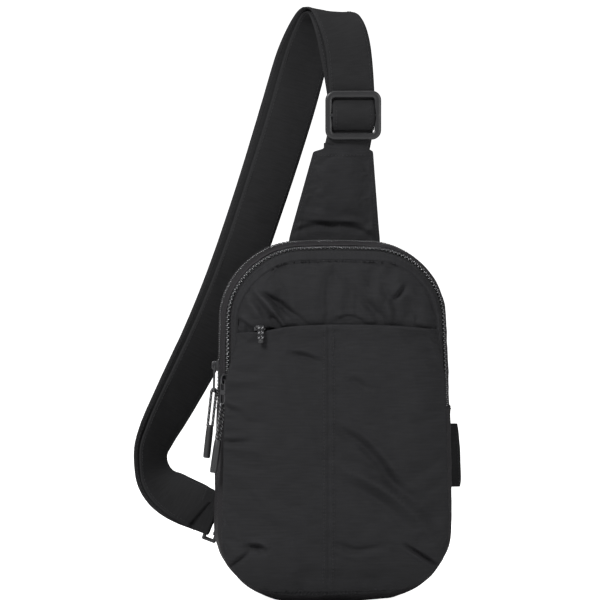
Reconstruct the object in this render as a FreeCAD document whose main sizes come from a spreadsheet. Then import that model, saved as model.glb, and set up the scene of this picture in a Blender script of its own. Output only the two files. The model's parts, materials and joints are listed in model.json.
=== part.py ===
"""Sling bag: a soft two-compartment body with a front pocket, three zips, a yoke and a doubled strap.

Frame: millimetres, +Z up, +Y towards the wearer, the front of the bag faces -Y. The origin is the
middle of the flat outer back face. "Depth" is the distance in front of the back face (so y = -depth),
and "inset" is the distance inside the widest outline of the bag.
"""
import FreeCAD, Part
import math
import os
import Sketcher

Vector = FreeCAD.Vector
Rotation = FreeCAD.Rotation
Placement = FreeCAD.Placement

SIZES = {
    # outline of the bag, seen from the front
    "bag_width": 190, "bag_height": 287, "side_flare": 4, "top_corner": 60, "bottom_corner": 57,
    # depth profile: where each band of the gusset starts, and how far inside the outline it lies
    "fabric": 1.2, "seam_gap": 0.1, "lining": 0.6, "lining_clear": 1, "foam": 4,
    "back_edge_inset": 4.5, "rear_gusset_depth": 1.4, "rear_gusset_inset": 3.6,
    "main_zip_depth": 14, "middle_gusset_depth": 24.2, "front_zip_depth": 43.6, "front_zip_slope": 35,
    "rear_step": 0.4, "front_step": 0.5,
    "border_depth": 52.4, "border_inset": 6.9, "front_depth": 57, "front_inset": 9, "front_drop": 4,
    "pocket_rise": 10.6, "pocket_taper": 13, "divider_depth": 34, "divider_inset": 4,
    "zip_end": 13, "zip_stop": 0.8,
    # zips: two tapes with a coil on each, and the gaps the slider's neck runs in
    "zip_width": 10, "tape": 0.6, "tape_gap": 1.2, "tape_recess": 0.8,
    "coil_gap": 1.0, "coil_width": 1.7, "coil_height": 1.6, "coil_proud": 0.8, "coil_sink": 0.05,
    # zip slider, in its own frame: x away from the bag, z along the zip
    "slider_length": 9, "slider_width": 7, "slider_plate": 1.2, "slider_clear": 0.3, "neck": 0.6,
    "slider_flange": 0.7, "slider_taper": 0.6, "under_plate": 1,
    "crown_width": 1.6, "crown_length": 7, "crown_rise": 4.1, "crown_foot": 0.2, "crown_slope": 1.1,
    "pivot_height": 4.2,
    # pull link, cord and cord end
    "link_width": 6.4, "link_length": 21.8, "link_thick": 1.2, "link_bar": 1.5, "link_rail": 1.5,
    "link_window": 8.5, "link_bridge": 3.5,
    "cord_radius": 0.9, "cord_spread": 2.1, "cord_drop": 27.5, "end_length": 27, "end_rim": 0.8,
    "front_slider_z": 36, "main_slider_z": 45,
    # front pocket mouth and its concealed zip
    "mouth": 80, "mouth_slit": 2.4, "seam_x": -9, "pocket_zip_depth": 60.6, "pocket_zip_half": 71,
    "pocket_slider_x": -64, "pocket_pivot": 3.0, "pocket_crown": 2.6, "pocket_pull_length": 13,
    "pocket_pull_width": 4.4, "pull_chamfer": 1, "pin_depth": 71, "pin_radius": 0.7, "pin_clear": 0.1,
    "knuckle": 1.5,
    # yoke, which carries the strap at the top of the bag
    "yoke_base_z": 146.2, "yoke_top_z": 216, "neck_z": 226, "yoke_left": -33, "yoke_right": 42,
    "yoke_top_left": -13, "yoke_top_right": 36.5, "yoke_seam": 4.5, "shoulder": 2.5, "strap_width": 37,
    "strap_thick": 1.8, "layer_gap": 1.2, "yoke_foam": 4, "neck_x": 14,
    # adjuster, a ladder-lock frame on the front run of the strap
    "adjuster_x": 19.5, "adjuster_z": 247, "adjuster_width": 46, "adjuster_tall": 40,
    "adjuster_thick": 3.2, "adjuster_bar": 6.8, "adjuster_side": 4, "centre_bar": 5, "adjuster_corner": 6,
    "adjuster_back": 2.8, "wrap_peak": 8, "wrap_foot": 2.55, "wrap_reach": 12.8, "web": 1.5,
    # lower ring and tabs
    "ring_x": -86, "ring_y": 7, "ring_z": -82, "ring_span": 42, "ring_reach": 9, "ring_wire": 1.6,
    "loop_web": 1.1, "loop_clear": 0.4, "lower_tab_width": 34,
    "side_tab_z": -32, "side_tab_width": 52, "side_tab_reach": 17, "side_tab_thick": 5,
    "side_tab_sink": 2.4, "side_tab_front": 1,
}

doc = FreeCAD.newDocument("SlingBag")
sheet = doc.addObject("Spreadsheet::Sheet", "Sizes")
for row, (alias, value) in enumerate(SIZES.items(), start=1):
    sheet.set(f"A{row}", alias)
    sheet.set(f"B{row}", str(value))
    sheet.setAlias(f"B{row}", alias)
doc.recompute()

nodes = []


def expression(text):
    """Spell out the sheet's name in front of each alias used in an expression."""
    words = []
    word = ""
    for letter in str(text) + " ":
        if letter.isalnum() or letter in "_.":
            word += letter
            continue
        words.append(f"Sizes.{word}" if word in SIZES else word)
        words.append(letter)
        word = ""
    return "".join(words).strip()


def number(text):
    """The present value of an expression in the sheet's aliases."""
    result = sheet.evalExpression(expression(text))
    return float(getattr(result, "Value", result))


def node(piece, label):
    """Name a finished sub-part; the label is also the name of its file."""
    piece.Label = label
    nodes.append(piece)
    return piece


def place(piece, x="0", y="0", z="0", rotation=Rotation()):
    """Put a piece at a point given by expressions."""
    piece.Placement = Placement(Vector(number(x), number(y), number(z)), rotation)
    for axis, text in zip("xyz", (x, y, z)):
        piece.setExpression(f"Placement.Base.{axis}", expression(text))
    return piece


def bind(sketch, constraint, name, text):
    """Add a driving dimension to a sketch and bind it to the sheet."""
    index = sketch.addConstraint(constraint)
    sketch.renameConstraint(index, name)
    sketch.setExpression(f"Constraints.{name}", expression(text))


def polygon(sketch, corners, tag="p"):
    """Closed polygon through corners given as pairs of expressions."""
    points = [Vector(number(x), number(y), 0) for x, y in corners]
    first = sketch.GeometryCount
    count = len(points)
    for i, point in enumerate(points):
        sketch.addGeometry(Part.LineSegment(point, points[(i + 1) % count]), False)
    for i, (x, y) in enumerate(corners):
        sketch.addConstraint(Sketcher.Constraint("Coincident", first + i, 2, first + (i + 1) % count, 1))
        bind(sketch, Sketcher.Constraint("DistanceX", -1, 1, first + i, 1, points[i].x), f"{tag}{i}x", x)
        bind(sketch, Sketcher.Constraint("DistanceY", -1, 1, first + i, 1, points[i].y), f"{tag}{i}y", y)


def box(sketch, left, right, low, high, tag="b"):
    """Axis-aligned rectangle."""
    polygon(sketch, [(left, low), (right, low), (right, high), (left, high)], tag)


def circle(sketch, x, y, radius, tag="c"):
    """Circle at a point given by expressions."""
    ring = Part.Circle(Vector(number(x), number(y), 0), Vector(0, 0, 1), number(radius))
    index = sketch.addGeometry(ring, False)
    bind(sketch, Sketcher.Constraint("DistanceX", -1, 1, index, 3, number(x)), tag + "x", x)
    bind(sketch, Sketcher.Constraint("DistanceY", -1, 1, index, 3, number(y)), tag + "y", y)
    bind(sketch, Sketcher.Constraint("Radius", index, number(radius)), tag + "radius", radius)


def plane_sketch(body, role, name, offset="0"):
    """Sketch on one of a body's origin planes, moved along the plane's normal."""
    sketch = body.newObject("Sketcher::SketchObject", name)
    plane = next(item for item in body.Origin.OriginFeatures if item.Role == role)
    sketch.AttachmentSupport = [(plane, "")]
    sketch.MapMode = "FlatFace"
    sketch.AttachmentOffset = Placement(Vector(0, 0, number(offset)), Rotation())
    sketch.setExpression("AttachmentOffset.Base.z", expression(offset))
    return sketch


def pad(body, sketch, length, name, midplane=False, backwards=False):
    """Pad a sketch by a bound length."""
    feature = body.newObject("PartDesign::Pad", name)
    feature.Profile = sketch
    feature.Midplane = midplane
    feature.Reversed = backwards
    feature.setExpression("Length", expression(length))
    return feature


def cut_through(body, sketch, name):
    """Pocket a sketch through the whole body, both ways from its plane."""
    feature = body.newObject("PartDesign::Pocket", name)
    feature.Profile = sketch
    feature.Type = "ThroughAll"
    feature.Midplane = True
    return feature


# ---------------------------------------------------------------- outline of the bag

TOP_X = "bag_width / 2 - side_flare - top_corner"
TOP_Z = "bag_height / 2 - top_corner"
BOTTOM_X = "bag_width / 2 - bottom_corner"
BOTTOM_Z = "bag_height / 2 - bottom_corner"
HALF_AT_ZIP_END = ("(bag_width / 2 - side_flare * (zip_end + bag_height / 2 - bottom_corner)"
                   " / (bag_height - top_corner - bottom_corner))")
RIGHT, TOP = 0.0, math.pi / 2


def outline_geometry(inset, drop):
    """Four lines and four corner arcs, each tangent to the next, clockwise from the top line."""
    top = Vector(number(TOP_X), number(TOP_Z) - drop, 0)
    bottom = Vector(number(BOTTOM_X), -number(BOTTOM_Z), 0)
    top_radius = number("top_corner") - inset
    bottom_radius = number("bottom_corner") - inset
    down = bottom - top
    lean = math.atan2(down.y, down.x) + math.acos((top_radius - bottom_radius) / down.Length)
    outward = Vector(math.cos(lean), math.sin(lean), 0)

    def mirror(point):
        return Vector(-point.x, point.y, 0)

    def arc(centre, radius, start, end):
        return Part.ArcOfCircle(Part.Circle(centre, Vector(0, 0, 1), radius), start, end)

    top_right = top + Vector(0, top_radius, 0)
    side_top = top + outward * top_radius
    side_bottom = bottom + outward * bottom_radius
    low_right = bottom - Vector(0, bottom_radius, 0)
    return [
        Part.LineSegment(mirror(top_right), top_right),
        arc(top, top_radius, lean, TOP),
        Part.LineSegment(side_top, side_bottom),
        arc(bottom, bottom_radius, -TOP, lean),
        Part.LineSegment(low_right, mirror(low_right)),
        arc(mirror(bottom), bottom_radius, math.pi - lean, math.pi + TOP),
        Part.LineSegment(mirror(side_bottom), mirror(side_top)),
        arc(mirror(top), top_radius, TOP, math.pi - lean),
    ]


def draw_outline(sketch, inset, drop="0"):
    """Draw the rounded outline with its corners bound to the sheet."""
    for piece in outline_geometry(number(inset), number(drop)):
        sketch.addGeometry(piece, False)
    for line, line_end, corner, corner_end in ((0, 2, 1, 2), (2, 1, 1, 1), (2, 2, 3, 2), (4, 1, 3, 1),
                                               (4, 2, 5, 2), (6, 1, 5, 1), (6, 2, 7, 2), (0, 1, 7, 1)):
        sketch.addConstraint(Sketcher.Constraint("Tangent", line, line_end, corner, corner_end))
    sketch.addConstraint(Sketcher.Constraint("Symmetric", 1, 3, 7, 3, -2))
    sketch.addConstraint(Sketcher.Constraint("Symmetric", 3, 3, 5, 3, -2))
    sketch.addConstraint(Sketcher.Constraint("Equal", 1, 7))
    sketch.addConstraint(Sketcher.Constraint("Equal", 3, 5))
    top_z = f"{TOP_Z} - ({drop})"
    dimensions = (
        ("top_x", "DistanceX", (-1, 1, 1, 3), TOP_X),
        ("top_z", "DistanceY", (-1, 1, 1, 3), top_z),
        ("bottom_x", "DistanceX", (-1, 1, 3, 3), BOTTOM_X),
        ("bottom_z", "DistanceY", (3, 3, -1, 1), BOTTOM_Z),
        ("top_radius", "Radius", (1,), f"top_corner - ({inset})"),
        ("bottom_radius", "Radius", (3,), f"bottom_corner - ({inset})"),
    )
    for name, kind, ends, text in dimensions:
        bind(sketch, Sketcher.Constraint(kind, *ends, number(text)), name, text)


def outline(name, depth, inset, drop="0"):
    """Outline sketch that stands upright at a depth in front of the back face."""
    sketch = doc.addObject("Sketcher::SketchObject", name)
    place(sketch, y=f"-({depth})", rotation=Rotation(Vector(1, 0, 0), 90))
    draw_outline(sketch, inset, drop)
    return sketch


def plate(label, depth, thickness, inset, drop="0"):
    """Flat panel with the bag's outline, from a depth forwards."""
    body = doc.addObject("PartDesign::Body", label)
    sketch = plane_sketch(body, "XZ_Plane", label + "_outline", depth)
    draw_outline(sketch, inset, drop)
    pad(body, sketch, thickness, label + "_pad")
    return node(body, label)


def loft(name, stations):
    """Ruled solid through outlines given as (depth, inset, drop)."""
    feature = doc.addObject("Part::Loft", name)
    feature.Sections = [outline(f"{name}_{i}", *station) for i, station in enumerate(stations)]
    feature.Solid = True
    feature.Ruled = True
    return feature


def half_space(name, low, high):
    """Box wider and deeper than the bag between two heights, with its left side at a given place."""
    block = doc.addObject("Part::Box", name)
    sides = {"Length": "2 * bag_width", "Width": "2 * bag_height", "Height": f"({high}) - ({low})"}
    for side, text in sides.items():
        block.setExpression(side, expression(text))
    return place(block, "-bag_width", "-bag_height", low)


def boolean(kind, name, base, tool):
    """Part boolean of two objects."""
    feature = doc.addObject("Part::" + kind, name)
    feature.Base = base
    feature.Tool = tool
    return feature


def shell(name, stations, thickness):
    """Band of one thickness through the stations, open at the back and the front."""
    inner = [(depth, f"{inset} + {thickness}", drop) for depth, inset, drop in stations]
    return boolean("Cut", name, loft(name + "_outer", stations), loft(name + "_inner", inner))


def spine(name):
    """Upside-down U along the sides and the top of the outline, from zip end to zip end."""
    sketch = doc.addObject("Sketcher::SketchObject", name)
    sketch.Placement = Placement(Vector(), Rotation(Vector(1, 0, 0), 90))
    pieces = outline_geometry(0.0, 0.0)
    low = Vector(-number(HALF_AT_ZIP_END), number("zip_end"), 0)
    left, right = pieces[6].EndPoint, pieces[2].StartPoint
    sketch.addGeometry(Part.LineSegment(low, left), False)
    sketch.addGeometry(pieces[7], False)
    sketch.addGeometry(pieces[0], False)
    sketch.addGeometry(pieces[1], False)
    sketch.addGeometry(Part.LineSegment(right, Vector(-low.x, low.y, 0)), False)
    for first, first_end, second, second_end in ((0, 2, 1, 2), (2, 1, 1, 1), (2, 2, 3, 2), (4, 1, 3, 1)):
        sketch.addConstraint(Sketcher.Constraint("Tangent", first, first_end, second, second_end))
    sketch.addConstraint(Sketcher.Constraint("Symmetric", 0, 1, 4, 2, -2))
    sketch.addConstraint(Sketcher.Constraint("Symmetric", 1, 3, 3, 3, -2))
    sketch.addConstraint(Sketcher.Constraint("Equal", 1, 3))
    for tag, kind, ends, text in (("centre_x", "DistanceX", (-1, 1, 3, 3), TOP_X),
                                  ("centre_z", "DistanceY", (-1, 1, 3, 3), TOP_Z),
                                  ("radius", "Radius", (3,), "top_corner"),
                                  ("end_x", "DistanceX", (-1, 1, 4, 2), HALF_AT_ZIP_END),
                                  ("end_z", "DistanceY", (-1, 1, 4, 2), "zip_end")):
        bind(sketch, Sketcher.Constraint(kind, *ends, number(text)), tag, text)
    return sketch


def swept_band(label, path, corners):
    """Sweep a section around the U; its corners are (depth, inset) pairs at the left zip end."""
    profile = doc.addObject("Sketcher::SketchObject", label + "_section")
    place(profile, z="zip_end")
    polygon(profile, [(f"-({HALF_AT_ZIP_END} - ({inset}))", f"-({depth})") for depth, inset in corners])
    feature = doc.addObject("Part::Sweep", label)
    feature.Sections = [profile]
    feature.Spine = (path, [f"Edge{i}" for i in range(1, 6)])
    feature.Solid = True
    feature.Transition = "Right corner"
    return node(feature, label)


def strip(label, path, zip_start, slope, along, height):
    """Straight-sided strip of a zip: from/to along the zip's width, and from/to above its surface."""
    depth, inset = zip_start
    cosine, sine = f"cos({slope} * 1 deg)", f"sin({slope} * 1 deg)"
    corners = []
    edges = ((along[0], height[0]), (along[1], height[0]), (along[1], height[1]), (along[0], height[1]))
    for run, rise in edges:
        corners.append((f"{depth} + ({run}) * {cosine} + ({rise}) * {sine}",
                        f"{inset} + ({run}) * {sine} - ({rise}) * {cosine}"))
    return swept_band(label, path, corners)


# ---------------------------------------------------------------- body of the bag

def build_back():
    """Flat padded back: outer panel, foam and lining, each a little smaller than the one behind."""
    plate("back_panel", "0", "fabric", "back_edge_inset")
    plate("back_foam", "fabric + seam_gap", "foam", "back_edge_inset + fabric + lining_clear")
    plate("back_lining", "fabric + foam + 2 * seam_gap", "lining", "back_edge_inset + fabric + lining_clear")


def build_gusset(path):
    """Bands that make the depth of the bag, with the two U-shaped zips between them."""
    rear_end = ("main_zip_depth - seam_gap", "rear_step")
    swept_band("rear_gusset", path, [("rear_gusset_depth", "rear_gusset_inset"), rear_end,
                                     (rear_end[0], "rear_step + fabric"),
                                     ("rear_gusset_depth", "rear_gusset_inset + fabric")])
    middle_end = "front_zip_depth - tape_recess - seam_gap"
    swept_band("middle_gusset", path, [("middle_gusset_depth", "0"), (middle_end, "front_step"),
                                       (middle_end, "front_step + fabric"),
                                       ("middle_gusset_depth", "fabric")])
    profile = [("rear_gusset_depth", "rear_gusset_inset", "0"), ("main_zip_depth", "rear_step", "0"),
               ("middle_gusset_depth", "0", "0"), ("front_zip_depth", "front_step", "0"),
               ("border_depth - seam_gap", "border_inset - seam_gap", "0")]
    whole = shell("gusset_loop", profile, "fabric")
    below = half_space("below_zips", "-bag_height", "zip_end - zip_stop")
    node(boolean("Common", "lower_gusset", whole, below), "lower_gusset")
    edge = [("border_depth", "border_inset", "0"),
            ("front_depth - seam_gap", "front_inset - seam_gap", "front_drop")]
    node(shell("front_border", edge, "fabric"), "front_border")
    plate("divider", "divider_depth", "lining", "divider_inset")


def build_zip(label, path, zip_start, slope):
    """One U-shaped coil zip: rear and front tape, and a coil half on each."""
    middle = "zip_width / 2"
    tape = ("-tape_recess - tape", "-tape_recess")
    coil = ("-tape_recess + coil_sink", "coil_proud")
    halves = (
        ("rear", "0", f"{middle} - tape_gap / 2", f"{middle} - coil_gap / 2 - coil_width",
         f"{middle} - coil_gap / 2"),
        ("front", f"{middle} + tape_gap / 2", "zip_width", f"{middle} + coil_gap / 2",
         f"{middle} + coil_gap / 2 + coil_width"),
    )
    for side, tape_from, tape_to, coil_from, coil_to in halves:
        strip(f"{label}_{side}_tape", path, zip_start, slope, (tape_from, tape_to), tape)
        strip(f"{label}_{side}_coil", path, zip_start, slope, (coil_from, coil_to), coil)


def build_front():
    """Front wall: an inner lining behind the pocket, and the outer panels around its mouth and seam."""
    inside = "front_inset + 2 * fabric + lining_clear"
    plate("pocket_lining", "front_depth + seam_gap", "lining", inside, "front_drop")
    rim = ("front_depth", "front_inset", "front_drop")
    face = ("front_depth + pocket_rise", "front_inset + pocket_taper", "front_drop")
    outer = loft("front_outer", [rim, face])
    hollow = loft("front_hollow", [
        ("front_depth", "front_inset + 1.5 * fabric", "front_drop"),
        ("front_depth + pocket_rise - fabric", "front_inset + pocket_taper + fabric / 2", "front_drop")])
    tray = boolean("Cut", "front_tray", outer, hollow)
    above = half_space("above_mouth", "mouth + mouth_slit / 2", "bag_height")
    node(boolean("Common", "front_panel", tray, above), "front_panel")
    below = half_space("below_mouth", "-bag_height", "mouth - mouth_slit / 2")
    pocket = boolean("Common", "pocket", tray, below)
    for side, left in (("left", "seam_x - seam_gap / 2 - bag_width"), ("right", "seam_x + seam_gap / 2")):
        block = doc.addObject("Part::Box", "pocket_side_" + side)
        edges = {"Length": "bag_width", "Width": "2 * bag_height", "Height": "2 * bag_height"}
        for edge, text in edges.items():
            block.setExpression(edge, expression(text))
        place(block, left, "-bag_height", "-bag_height")
        node(boolean("Common", "pocket_panel_" + side, pocket, block), "pocket_panel_" + side)


def build_pocket_zip():
    """Straight zip behind the pocket's mouth: an upper and a lower tape with a coil half each."""
    gaps = {"upper": 1, "lower": -1}
    for side, sign in gaps.items():
        for kind, near, wide, back, thick in (
                ("tape", "tape_gap / 2", "zip_width / 2 - tape_gap / 2", "pocket_zip_depth", "tape"),
                ("coil", "coil_gap / 2", "coil_width", "pocket_zip_depth + tape + coil_sink",
                 "coil_height - coil_sink")):
            label = f"pocket_zip_{side}_{kind}"
            body = doc.addObject("PartDesign::Body", label)
            sketch = plane_sketch(body, "XZ_Plane", label + "_outline", back)
            inner, outer = f"mouth + {sign} * ({near})", f"mouth + {sign} * ({near} + {wide})"
            low, high = (inner, outer) if sign > 0 else (outer, inner)
            box(sketch, "-pocket_zip_half", "pocket_zip_half", low, high)
            pad(body, sketch, thick, label + "_pad")
            node(body, label)


# ---------------------------------------------------------------- zip sliders and pulls

def slider_body(label, crown_rise, pivot):
    """Slider in its own frame: two plates joined by a thin neck, side flanges and an arched crown."""
    body = doc.addObject("PartDesign::Body", label)
    half, length = "slider_width / 2", "slider_length"
    surface = "coil_proud + slider_clear"
    top = f"{surface} + slider_plate"
    under = "-tape_recess - tape - slider_clear"
    section = plane_sketch(body, "XY_Plane", label + "_section", "-slider_length / 2")
    flange = f"{half} - slider_flange"
    narrow = f"{half} - slider_taper"
    polygon(section, [
        (f"{under} - under_plate", f"-({narrow})"), (under, f"-({narrow})"), (under, "-neck / 2"),
        (surface, "-neck / 2"), (surface, f"-({flange})"), ("-tape_recess + slider_clear", f"-({flange})"),
        ("-tape_recess + slider_clear", f"-({half})"), (top, f"-({half})"),
        (top, half), ("-tape_recess + slider_clear", half), ("-tape_recess + slider_clear", flange),
        (surface, flange), (surface, "neck / 2"), (under, "neck / 2"),
        (under, narrow), (f"{under} - under_plate", narrow)])
    pad(body, section, length, label + "_plates")
    crown = plane_sketch(body, "XZ_Plane", label + "_crown_outline")
    reach = "crown_length / 2"
    foot, peak = f"{top} - crown_foot", f"{top} + {crown_rise}"
    shoulder = f"{peak} - crown_slope"
    flat = f"({reach} - crown_slope * 1.3)"
    polygon(crown, [(foot, f"-{reach}"), (shoulder, f"-{reach}"), (peak, f"-{flat}"),
                    (peak, flat), (shoulder, reach), (foot, reach)])
    pad(body, crown, "crown_width", label + "_crown", midplane=True)
    opening = plane_sketch(body, "XZ_Plane", label + "_opening_outline")
    clear = "link_thick / 2 + slider_clear"
    polygon(opening, [(f"{pivot} - ({clear})", f"-({clear})"), (f"{pivot} + {clear}", f"-({clear})"),
                      (f"{pivot} + {clear}", clear), (f"{pivot} - ({clear})", clear)])
    cut_through(body, opening, label + "_opening")
    return body


def pull_link(label):
    """Flat link hanging from the crown: a top bar in the crown, a window for it, and an eye."""
    body = doc.addObject("PartDesign::Body", label)
    sketch = plane_sketch(body, "YZ_Plane", label + "_outline", "-link_thick / 2")
    half = "link_width / 2"
    polygon(sketch, [(f"-{half}", "link_thick / 2"), (f"-{half}", "-link_length"),
                     (half, "-link_length"), (half, "link_thick / 2")])
    pad(body, sketch, "link_thick", label + "_plate")
    windows = plane_sketch(body, "YZ_Plane", label + "_windows")
    rail = f"{half} - link_rail"
    box(windows, f"-({rail})", rail, "-link_window", "-link_thick / 2", "window")
    box(windows, f"-({rail})", rail, "-link_length + link_bar", "-link_window - link_bridge", "eye")
    cut_through(body, windows, label + "_openings")
    return body


def cord_loop(label):
    """Cord doubled through the link's eye, in its own frame with the link's lower bar at the origin."""
    body = doc.addObject("PartDesign::Body", label)
    path = plane_sketch(body, "XZ_Plane", label + "_path")
    spread, drop = number("cord_spread"), number("cord_drop")
    path.addGeometry(Part.LineSegment(Vector(-spread, -drop, 0), Vector(-spread, 0, 0)), False)
    path.addGeometry(Part.ArcOfCircle(Part.Circle(Vector(), Vector(0, 0, 1), spread), 0, math.pi), False)
    path.addGeometry(Part.LineSegment(Vector(spread, 0, 0), Vector(spread, -drop, 0)), False)
    path.addConstraint(Sketcher.Constraint("Tangent", 0, 2, 1, 2))
    path.addConstraint(Sketcher.Constraint("Tangent", 2, 1, 1, 1))
    path.addConstraint(Sketcher.Constraint("Coincident", 1, 3, -1, 1))
    path.addConstraint(Sketcher.Constraint("Vertical", 0))
    path.addConstraint(Sketcher.Constraint("Horizontal", 0, 1, 2, 2))
    bind(path, Sketcher.Constraint("Radius", 1, spread), "spread", "cord_spread")
    bind(path, Sketcher.Constraint("DistanceY", 0, 1, -1, 1, drop), "drop", "cord_drop")
    section = plane_sketch(body, "XY_Plane", label + "_section", "-cord_drop")
    circle(section, "-cord_spread", "0", "cord_radius")
    pipe = body.newObject("PartDesign::AdditivePipe", label + "_pipe")
    pipe.Profile = section
    pipe.Spine = (path, ["Edge1", "Edge2", "Edge3"])
    return body


def cord_end(label):
    """Moulded cylinder that closes the cord, with a softened rim at both ends."""
    body = doc.addObject("PartDesign::Body", label)
    sketch = plane_sketch(body, "XY_Plane", label + "_section", "-cord_drop - seam_gap")
    circle(sketch, "0", "0", "cord_spread + cord_radius")
    barrel = pad(body, sketch, "end_length", label + "_pad", backwards=True)
    doc.recompute()
    rim = body.newObject("PartDesign::Fillet", label + "_rim")
    rim.Base = (barrel, ["Edge1", "Edge3"])
    rim.setExpression("Radius", expression("end_rim"))
    return body


def slider_frame(zip_start, slope, height):
    """Where a zip's middle line passes a height on the left side, and the rotation into that frame."""
    depth, inset = zip_start
    half_there = ("(bag_width / 2 - side_flare * (" + height + " + bag_height / 2 - bottom_corner)"
                  " / (bag_height - top_corner - bottom_corner))")
    x = f"-({half_there} - ({inset}) - zip_width / 2 * sin({slope} * 1 deg))"
    y = f"-({depth} + zip_width / 2 * cos({slope} * 1 deg))"
    lean = math.degrees(math.atan2(number("side_flare"), number("bag_height - top_corner - bottom_corner")))
    outward = Rotation(Vector(0, 0, 1), 180 + number(slope))
    return x, y, height, Rotation(Vector(0, 1, 0), lean) * outward


def offset_place(piece, frame, shift):
    """Place a piece at a point given in a slider's own frame."""
    x, y, z, rotation = frame
    moved = rotation.multVec(Vector(*[number(value) for value in shift]))
    place(piece, f"{x} + {moved.x:.6f}", f"{y} + {moved.y:.6f}", f"{z} + {moved.z:.6f}", rotation)


def build_pulls(label, zip_start, slope, height):
    """Slider, link, cord and cord end of one U-shaped zip, hanging down on the left side."""
    frame = slider_frame(zip_start, slope, height)
    below = "-link_length + link_bar / 2"
    pieces = (
        ("_slider", slider_body(label + "_slider", "crown_rise", "pivot_height"), ("0", "0", "0")),
        ("_link", pull_link(label + "_link"), ("pivot_height", "0", "0")),
        ("_cord", cord_loop(label + "_cord"), ("pivot_height", "0", below)),
        ("_cord_end", cord_end(label + "_cord_end"), ("pivot_height", "0", below)),
    )
    for ending, piece, shift in pieces:
        offset_place(node(piece, label + ending), frame, shift)


def build_pocket_slider():
    """Slider of the pocket zip, its bent link out through the slit, and the tab that hangs from it."""
    across = Rotation(Vector(0, 0, -1), 90)
    along = Rotation(Vector(0, 1, 0), 90)
    node(slider_body("pocket_slider", "pocket_crown", "pocket_pivot"), "pocket_slider")
    place(nodes[-1], "pocket_slider_x", "-(pocket_zip_depth + tape + tape_recess)", "mouth", along * across)

    link = doc.addObject("PartDesign::Body", "pocket_link")
    crown_top = "coil_proud + slider_clear + slider_plate + pocket_crown + seam_gap"
    start = f"-(pocket_zip_depth + tape + tape_recess + {crown_top})"
    arm = plane_sketch(link, "YZ_Plane", "pocket_link_arm_outline")
    box(arm, "-pin_depth", start, "mouth - pin_radius", "mouth + pin_radius")
    pad(link, arm, "link_thick", "pocket_link_arm", midplane=True)
    pin = plane_sketch(link, "YZ_Plane", "pocket_link_pin_outline")
    circle(pin, "-pin_depth", "mouth", "pin_radius")
    pad(link, pin, "pocket_pull_width", "pocket_link_pin", midplane=True)
    place(node(link, "pocket_link"), "pocket_slider_x")

    pull = doc.addObject("PartDesign::Body", "pocket_pull")
    barrel = plane_sketch(pull, "YZ_Plane", "pocket_pull_barrel_outline")
    circle(barrel, "-pin_depth", "mouth", "knuckle")
    pad(pull, barrel, "pocket_pull_width", "pocket_pull_barrel", midplane=True)
    leaf = plane_sketch(pull, "XZ_Plane", "pocket_pull_leaf_outline", "pin_depth")
    half = "pocket_pull_width / 2"
    end, side = "mouth - pocket_pull_length", f"{half} - pull_chamfer"
    polygon(leaf, [(f"-{half}", "mouth"), (f"-{half}", f"{end} + pull_chamfer"), (f"-({side})", end),
                   (side, end), (half, f"{end} + pull_chamfer"), (half, "mouth")])
    pad(pull, leaf, "link_thick", "pocket_pull_leaf")
    bore = plane_sketch(pull, "YZ_Plane", "pocket_pull_bore_outline")
    circle(bore, "-pin_depth", "mouth", "pin_radius + pin_clear")
    cut_through(pull, bore, "pocket_pull_bore")
    slot = plane_sketch(pull, "XZ_Plane", "pocket_pull_slot_outline")
    clear = "link_thick / 2 + 2 * pin_clear"
    box(slot, f"-({clear})", clear, "mouth - knuckle - neck", "mouth + knuckle + neck")
    cut_through(pull, slot, "pocket_pull_slot")
    place(node(pull, "pocket_pull"), "pocket_slider_x")


# ---------------------------------------------------------------- yoke, adjuster and strap

def build_yoke():
    """Padded trapezoid above the bag: a front and a back face with foam between them."""
    neck_left, neck_right = "neck_x - strap_width / 2", "neck_x + strap_width / 2"
    face = [("yoke_left", "yoke_base_z"), ("yoke_right", "yoke_base_z"), ("yoke_top_right", "yoke_top_z"),
            (neck_right, "yoke_top_z + shoulder"), (neck_right, "neck_z"), (neck_left, "neck_z"),
            (neck_left, "yoke_top_z + shoulder"), ("yoke_top_left", "yoke_top_z")]
    fill = [("yoke_left + yoke_seam", "yoke_base_z + lining_clear"),
            ("yoke_right - yoke_seam", "yoke_base_z + lining_clear"),
            ("yoke_top_right - yoke_seam", "yoke_top_z - yoke_seam"),
            ("yoke_top_left + yoke_seam", "yoke_top_z - yoke_seam")]
    inner = "yoke_foam / 2 + seam_gap"
    for label, start, thickness, corners in (("yoke_back", f"-({inner}) - fabric", "fabric", face),
                                             ("yoke_foam", "-yoke_foam / 2", "yoke_foam", fill),
                                             ("yoke_front", inner, "fabric", face)):
        body = doc.addObject("PartDesign::Body", label)
        sketch = plane_sketch(body, "XZ_Plane", label + "_outline", start)
        polygon(sketch, corners)
        pad(body, sketch, thickness, label + "_pad")
        node(body, label)


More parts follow.
